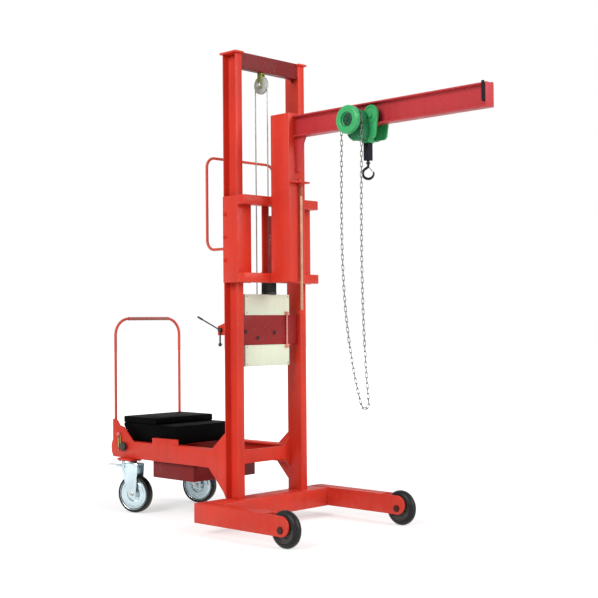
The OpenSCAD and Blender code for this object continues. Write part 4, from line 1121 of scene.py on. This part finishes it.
def forge_hook():
    """The load hook: a bar that swells round its back and thins to its tip, with a latch."""
    lo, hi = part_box("load_hook")
    at = joint_place("hook_swivel")[0]
    wire, bend, thickest = 0.006, 0.025, 0.0062
    turn = Matrix.Translation((at.x, at.y, 0)) @ Matrix.Rotation(math.radians(45), 4, "Z")
    centre = lo.z + wire + bend
    shank = ((0, hi.z - 0.012), (0, centre + 0.034), (-0.002, centre + 0.029))
    path = [Vector((x, 0, z)) for x, z in shank]
    radii = [wire, wire, wire * 1.02]
    start, sweep, steps = 112, 265, 30
    for step in range(steps + 1):
        share = step / steps
        angle = math.radians(start + sweep * share)
        path.append(Vector((bend * math.cos(angle), 0, centre + bend * math.sin(angle))))
        thin = 0.42 * max(0, share - 0.62) / 0.38
        radii.append(wire * (1.02 + 0.14 * math.sin(math.pi * share) - thin))
    bm = bmesh.new()
    swept(bm, path, [min(radius, thickest) for radius in radii], 18)
    collar = [(0, 0), (0.0095, 0), (0.01, 0.001), (0.01, 0.006), (0.0095, 0.007), (0, 0.007)]
    turned(bm, collar, (0, 0, centre + 0.044), Z, 28)
    bm.transform(turn)
    named("load_hook_shell", bm, "hook", "hook_steel", stands_for="load_hook")
    tip = math.radians(start + sweep)
    a = Vector((0.001, 0, centre + 0.031))
    b = Vector((bend * math.cos(tip) - 0.003, 0, centre + bend * math.sin(tip) + 0.001))
    bm = bmesh.new()
    for side in (-1, 1):
        rod(bm, a + Y * side * 0.0052, b + Y * side * 0.0026, 0.002, 10)
    rod(bm, a - Y * 0.0075, a + Y * 0.0075, 0.0034, 14)
    bm.transform(turn)
    named("hook_latch", bm, "hook", "hook_steel")


# ---------------------------------------------------------------- operators


def paint_object(thing, material):
    """Gives a whole object one material."""
    thing.data.materials.clear()
    thing.data.materials.append(material)


class LIFTER_OT_finishes(bpy.types.Operator):
    """Makes the materials and gives each steel, rubber and painted piece its own"""

    bl_idname = "lifter.finishes"
    bl_label = "Finishes"

    def execute(self, context):
        make_finishes()
        for node, slot in SLOT_OF.items():
            paint_object(NODES[node], FINISHES[slot])
        # The front axles are made very dark, partly as painted shade of their holes.
        own = {"front_axles": "sooty steel", "push_handle": "tube red", "mast_handle": "tube red"}
        for node, look in own.items():
            paint_object(NODES[node], FINISHES[look])
        return {"FINISHED"}


class LIFTER_OT_steelwork(bpy.types.Operator):
    """Rounds the edges of the painted, cast and pressed pieces"""

    bl_idname = "lifter.steelwork"
    bl_label = "Steelwork"

    def execute(self, context):
        round_steelwork()
        return {"FINISHED"}


class LIFTER_OT_welds(bpy.types.Operator):
    """Lays the weld beads"""

    bl_idname = "lifter.welds"
    bl_label = "Welds"

    def execute(self, context):
        weld_seams()
        return {"FINISHED"}


class LIFTER_OT_bolts(bpy.types.Operator):
    """Sets the bolts, nuts and screws"""

    bl_idname = "lifter.bolts"
    bl_label = "Bolts"

    def execute(self, context):
        bolts_and_screws()
        return {"FINISHED"}


class LIFTER_OT_winch(bpy.types.Operator):
    """Builds the motor, the guide rod, the plugs and the cover lips of the winch"""

    bl_idname = "lifter.winch"
    bl_label = "Winch"

    def execute(self, context):
        dress_winch()
        return {"FINISHED"}


class LIFTER_OT_rope(bpy.types.Operator):
    """Lays the front strand and adds the fittings of the rope and the sheave"""

    bl_idname = "lifter.rope"
    bl_label = "Rope"

    def execute(self, context):
        dress_rope()
        return {"FINISHED"}


class LIFTER_OT_wheels(bpy.types.Operator):
    """Builds the tyres, hubs, discs and swivel races"""

    bl_idname = "lifter.wheels"
    bl_label = "Wheels"

    def execute(self, context):
        dress_wheels()
        return {"FINISHED"}


class LIFTER_OT_handles(bpy.types.Operator):
    """Adds the sleeve, the collars and the clamp of the push handle"""

    bl_idname = "lifter.handles"
    bl_label = "Handles"

    def execute(self, context):
        dress_handles()
        return {"FINISHED"}


class LIFTER_OT_carriage(bpy.types.Operator):
    """Adds roller shields, the rope's guard and the threaded rod"""

    bl_idname = "lifter.carriage"
    bl_label = "Carriage"

    def execute(self, context):
        dress_carriage()
        return {"FINISHED"}


class LIFTER_OT_hoist(bpy.types.Operator):
    """Builds the details of the chain hoist and its hook"""

    bl_idname = "lifter.hoist"
    bl_label = "Hoist"

    def execute(self, context):
        dress_hoist()
        return {"FINISHED"}


class LIFTER_OT_studio(bpy.types.Operator):
    """Builds the pale floor, the lights and the camera"""

    bl_idname = "lifter.studio"
    bl_label = "Studio"

    def execute(self, context):
        view = context.scene.lifter_view
        make_floor(view)
        make_world(view)
        make_lights(view)
        make_camera(view)
        context.scene.view_settings.view_transform = "Standard"
        return {"FINISHED"}


def make_floor(view):
    """A wide pale floor that shows white and keeps the shadow."""
    mesh = bpy.data.meshes.new("floor")
    bm = bmesh.new()
    bmesh.ops.create_grid(bm, x_segments=1, y_segments=1, size=30)
    bm.to_mesh(mesh)
    bm.free()
    floor = new_object("floor", mesh)
    floor.location.z = -0.0005
    material = bpy.data.materials.new("pale floor")
    material.use_nodes = True
    tree = material.node_tree
    shader = tree.nodes["Principled BSDF"]
    shader.inputs["Base Color"].default_value = (0.7, 0.7, 0.7, 1)
    shader.inputs["Roughness"].default_value = 0.9
    shader.inputs["Specular IOR Level"].default_value = 0.1
    path = add(tree, "LightPath")
    place = add(tree, "TexCoord")
    reach = add(tree, "VectorMath", operation="LENGTH")
    tree.links.new(place.outputs["Object"], reach.inputs[0])
    seen = calc(tree, "MAXIMUM", path.outputs["Is Camera Ray"], path.outputs["Is Glossy Ray"])
    seen = calc(tree, "MAXIMUM", seen, path.outputs["Is Transmission Ray"])
    near, far = 1.4, 3.2
    glow = ramp(tree, reach.outputs["Value"], near, far, view.floor_glow, 1.0)
    shader.inputs["Emission Color"].default_value = (1, 1, 1, 1)
    tree.links.new(times(tree, seen, glow), shader.inputs["Emission Strength"])
    floor.data.materials.append(material)


def make_world(view):
    """White to the eye and in reflections, softer as a light."""
    world = bpy.data.worlds.new("studio")
    bpy.context.scene.world = world
    world.use_nodes = True
    tree = world.node_tree
    back = tree.nodes["Background"]
    back.inputs["Color"].default_value = (1, 1, 1, 1)
    path = add(tree, "LightPath")
    seen = calc(tree, "MAXIMUM", path.outputs["Is Camera Ray"], path.outputs["Is Transmission Ray"])
    seen = calc(tree, "MAXIMUM", seen, times(tree, path.outputs["Is Glossy Ray"], 0.8))
    tree.links.new(calc(tree, "MAXIMUM", seen, view.sky), back.inputs["Strength"])


def make_lights(view):
    """A large key from the near side, a weaker fill from ahead."""
    aim, wide = Vector((0, 0, 1.1)), 4.0
    lamps = (("key", view.key, (0.2, -7.6, 5.2)), ("fill", view.fill, (6.5, 1.5, 4.0)))
    for name, power, place in lamps:
        light = bpy.data.lights.new(name, "AREA")
        light.energy = power
        light.size = wide
        lamp = new_object(name, light)
        lamp.location = place
        lamp.rotation_euler = (aim - Vector(place)).to_track_quat("-Z", "Y").to_euler()


def make_camera(view):
    """The camera, by place, heading, pitch and roll."""
    data = bpy.data.cameras.new("camera")
    data.lens = view.lens
    data.sensor_width = 36
    camera = new_object("camera", data)
    turn = Matrix.Rotation(view.heading, 4, "Z") @ Matrix.Rotation(math.pi / 2 + view.pitch, 4, "X")
    turn = turn @ Matrix.Rotation(-view.roll, 4, "Z")
    camera.matrix_world = Matrix.Translation(view.eye) @ turn
    bpy.context.scene.camera = camera


class LIFTER_PT_panel(bpy.types.Panel):
    """Lists the steps that dress the lifter"""

    bl_idname = "LIFTER_PT_panel"
    bl_label = "Mast Lifter"
    bl_space_type = "VIEW_3D"
    bl_region_type = "UI"
    bl_category = "Lifter"

    def draw(self, context):
        scene = context.scene
        for group in (scene.lifter_finish, scene.lifter_fittings, scene.lifter_view):
            for key in group.bl_rna.properties.keys():
                if key not in {"rna_type", "name"}:
                    self.layout.prop(group, key)
        for step in STEPS:
            self.layout.operator(step.bl_idname)


STEPS = (
    LIFTER_OT_finishes, LIFTER_OT_steelwork, LIFTER_OT_welds, LIFTER_OT_bolts, LIFTER_OT_winch,
    LIFTER_OT_rope, LIFTER_OT_wheels, LIFTER_OT_handles, LIFTER_OT_carriage, LIFTER_OT_hoist,
    LIFTER_OT_studio,
)
GROUPS = (LifterFinish, LifterFittings, LifterView)


def register():
    """Adds the settings, the steps and the panel."""
    for kind in (*GROUPS, *STEPS, LIFTER_PT_panel):
        bpy.utils.register_class(kind)
    bpy.types.Scene.lifter_finish = bpy.props.PointerProperty(type=LifterFinish)
    bpy.types.Scene.lifter_fittings = bpy.props.PointerProperty(type=LifterFittings)
    bpy.types.Scene.lifter_view = bpy.props.PointerProperty(type=LifterView)


def unregister():
    """Takes them away again."""
    del bpy.types.Scene.lifter_view
    del bpy.types.Scene.lifter_fittings
    del bpy.types.Scene.lifter_finish
    for kind in reversed((*GROUPS, *STEPS, LIFTER_PT_panel)):
        bpy.utils.unregister_class(kind)


def main():
    """Dresses the lifter."""
    register()
    for step in STEPS:
        family, name = step.bl_idname.split(".")
        getattr(getattr(bpy.ops, family), name)()
    bpy.context.view_layer.update()


if __name__ == "__main__":
    main()
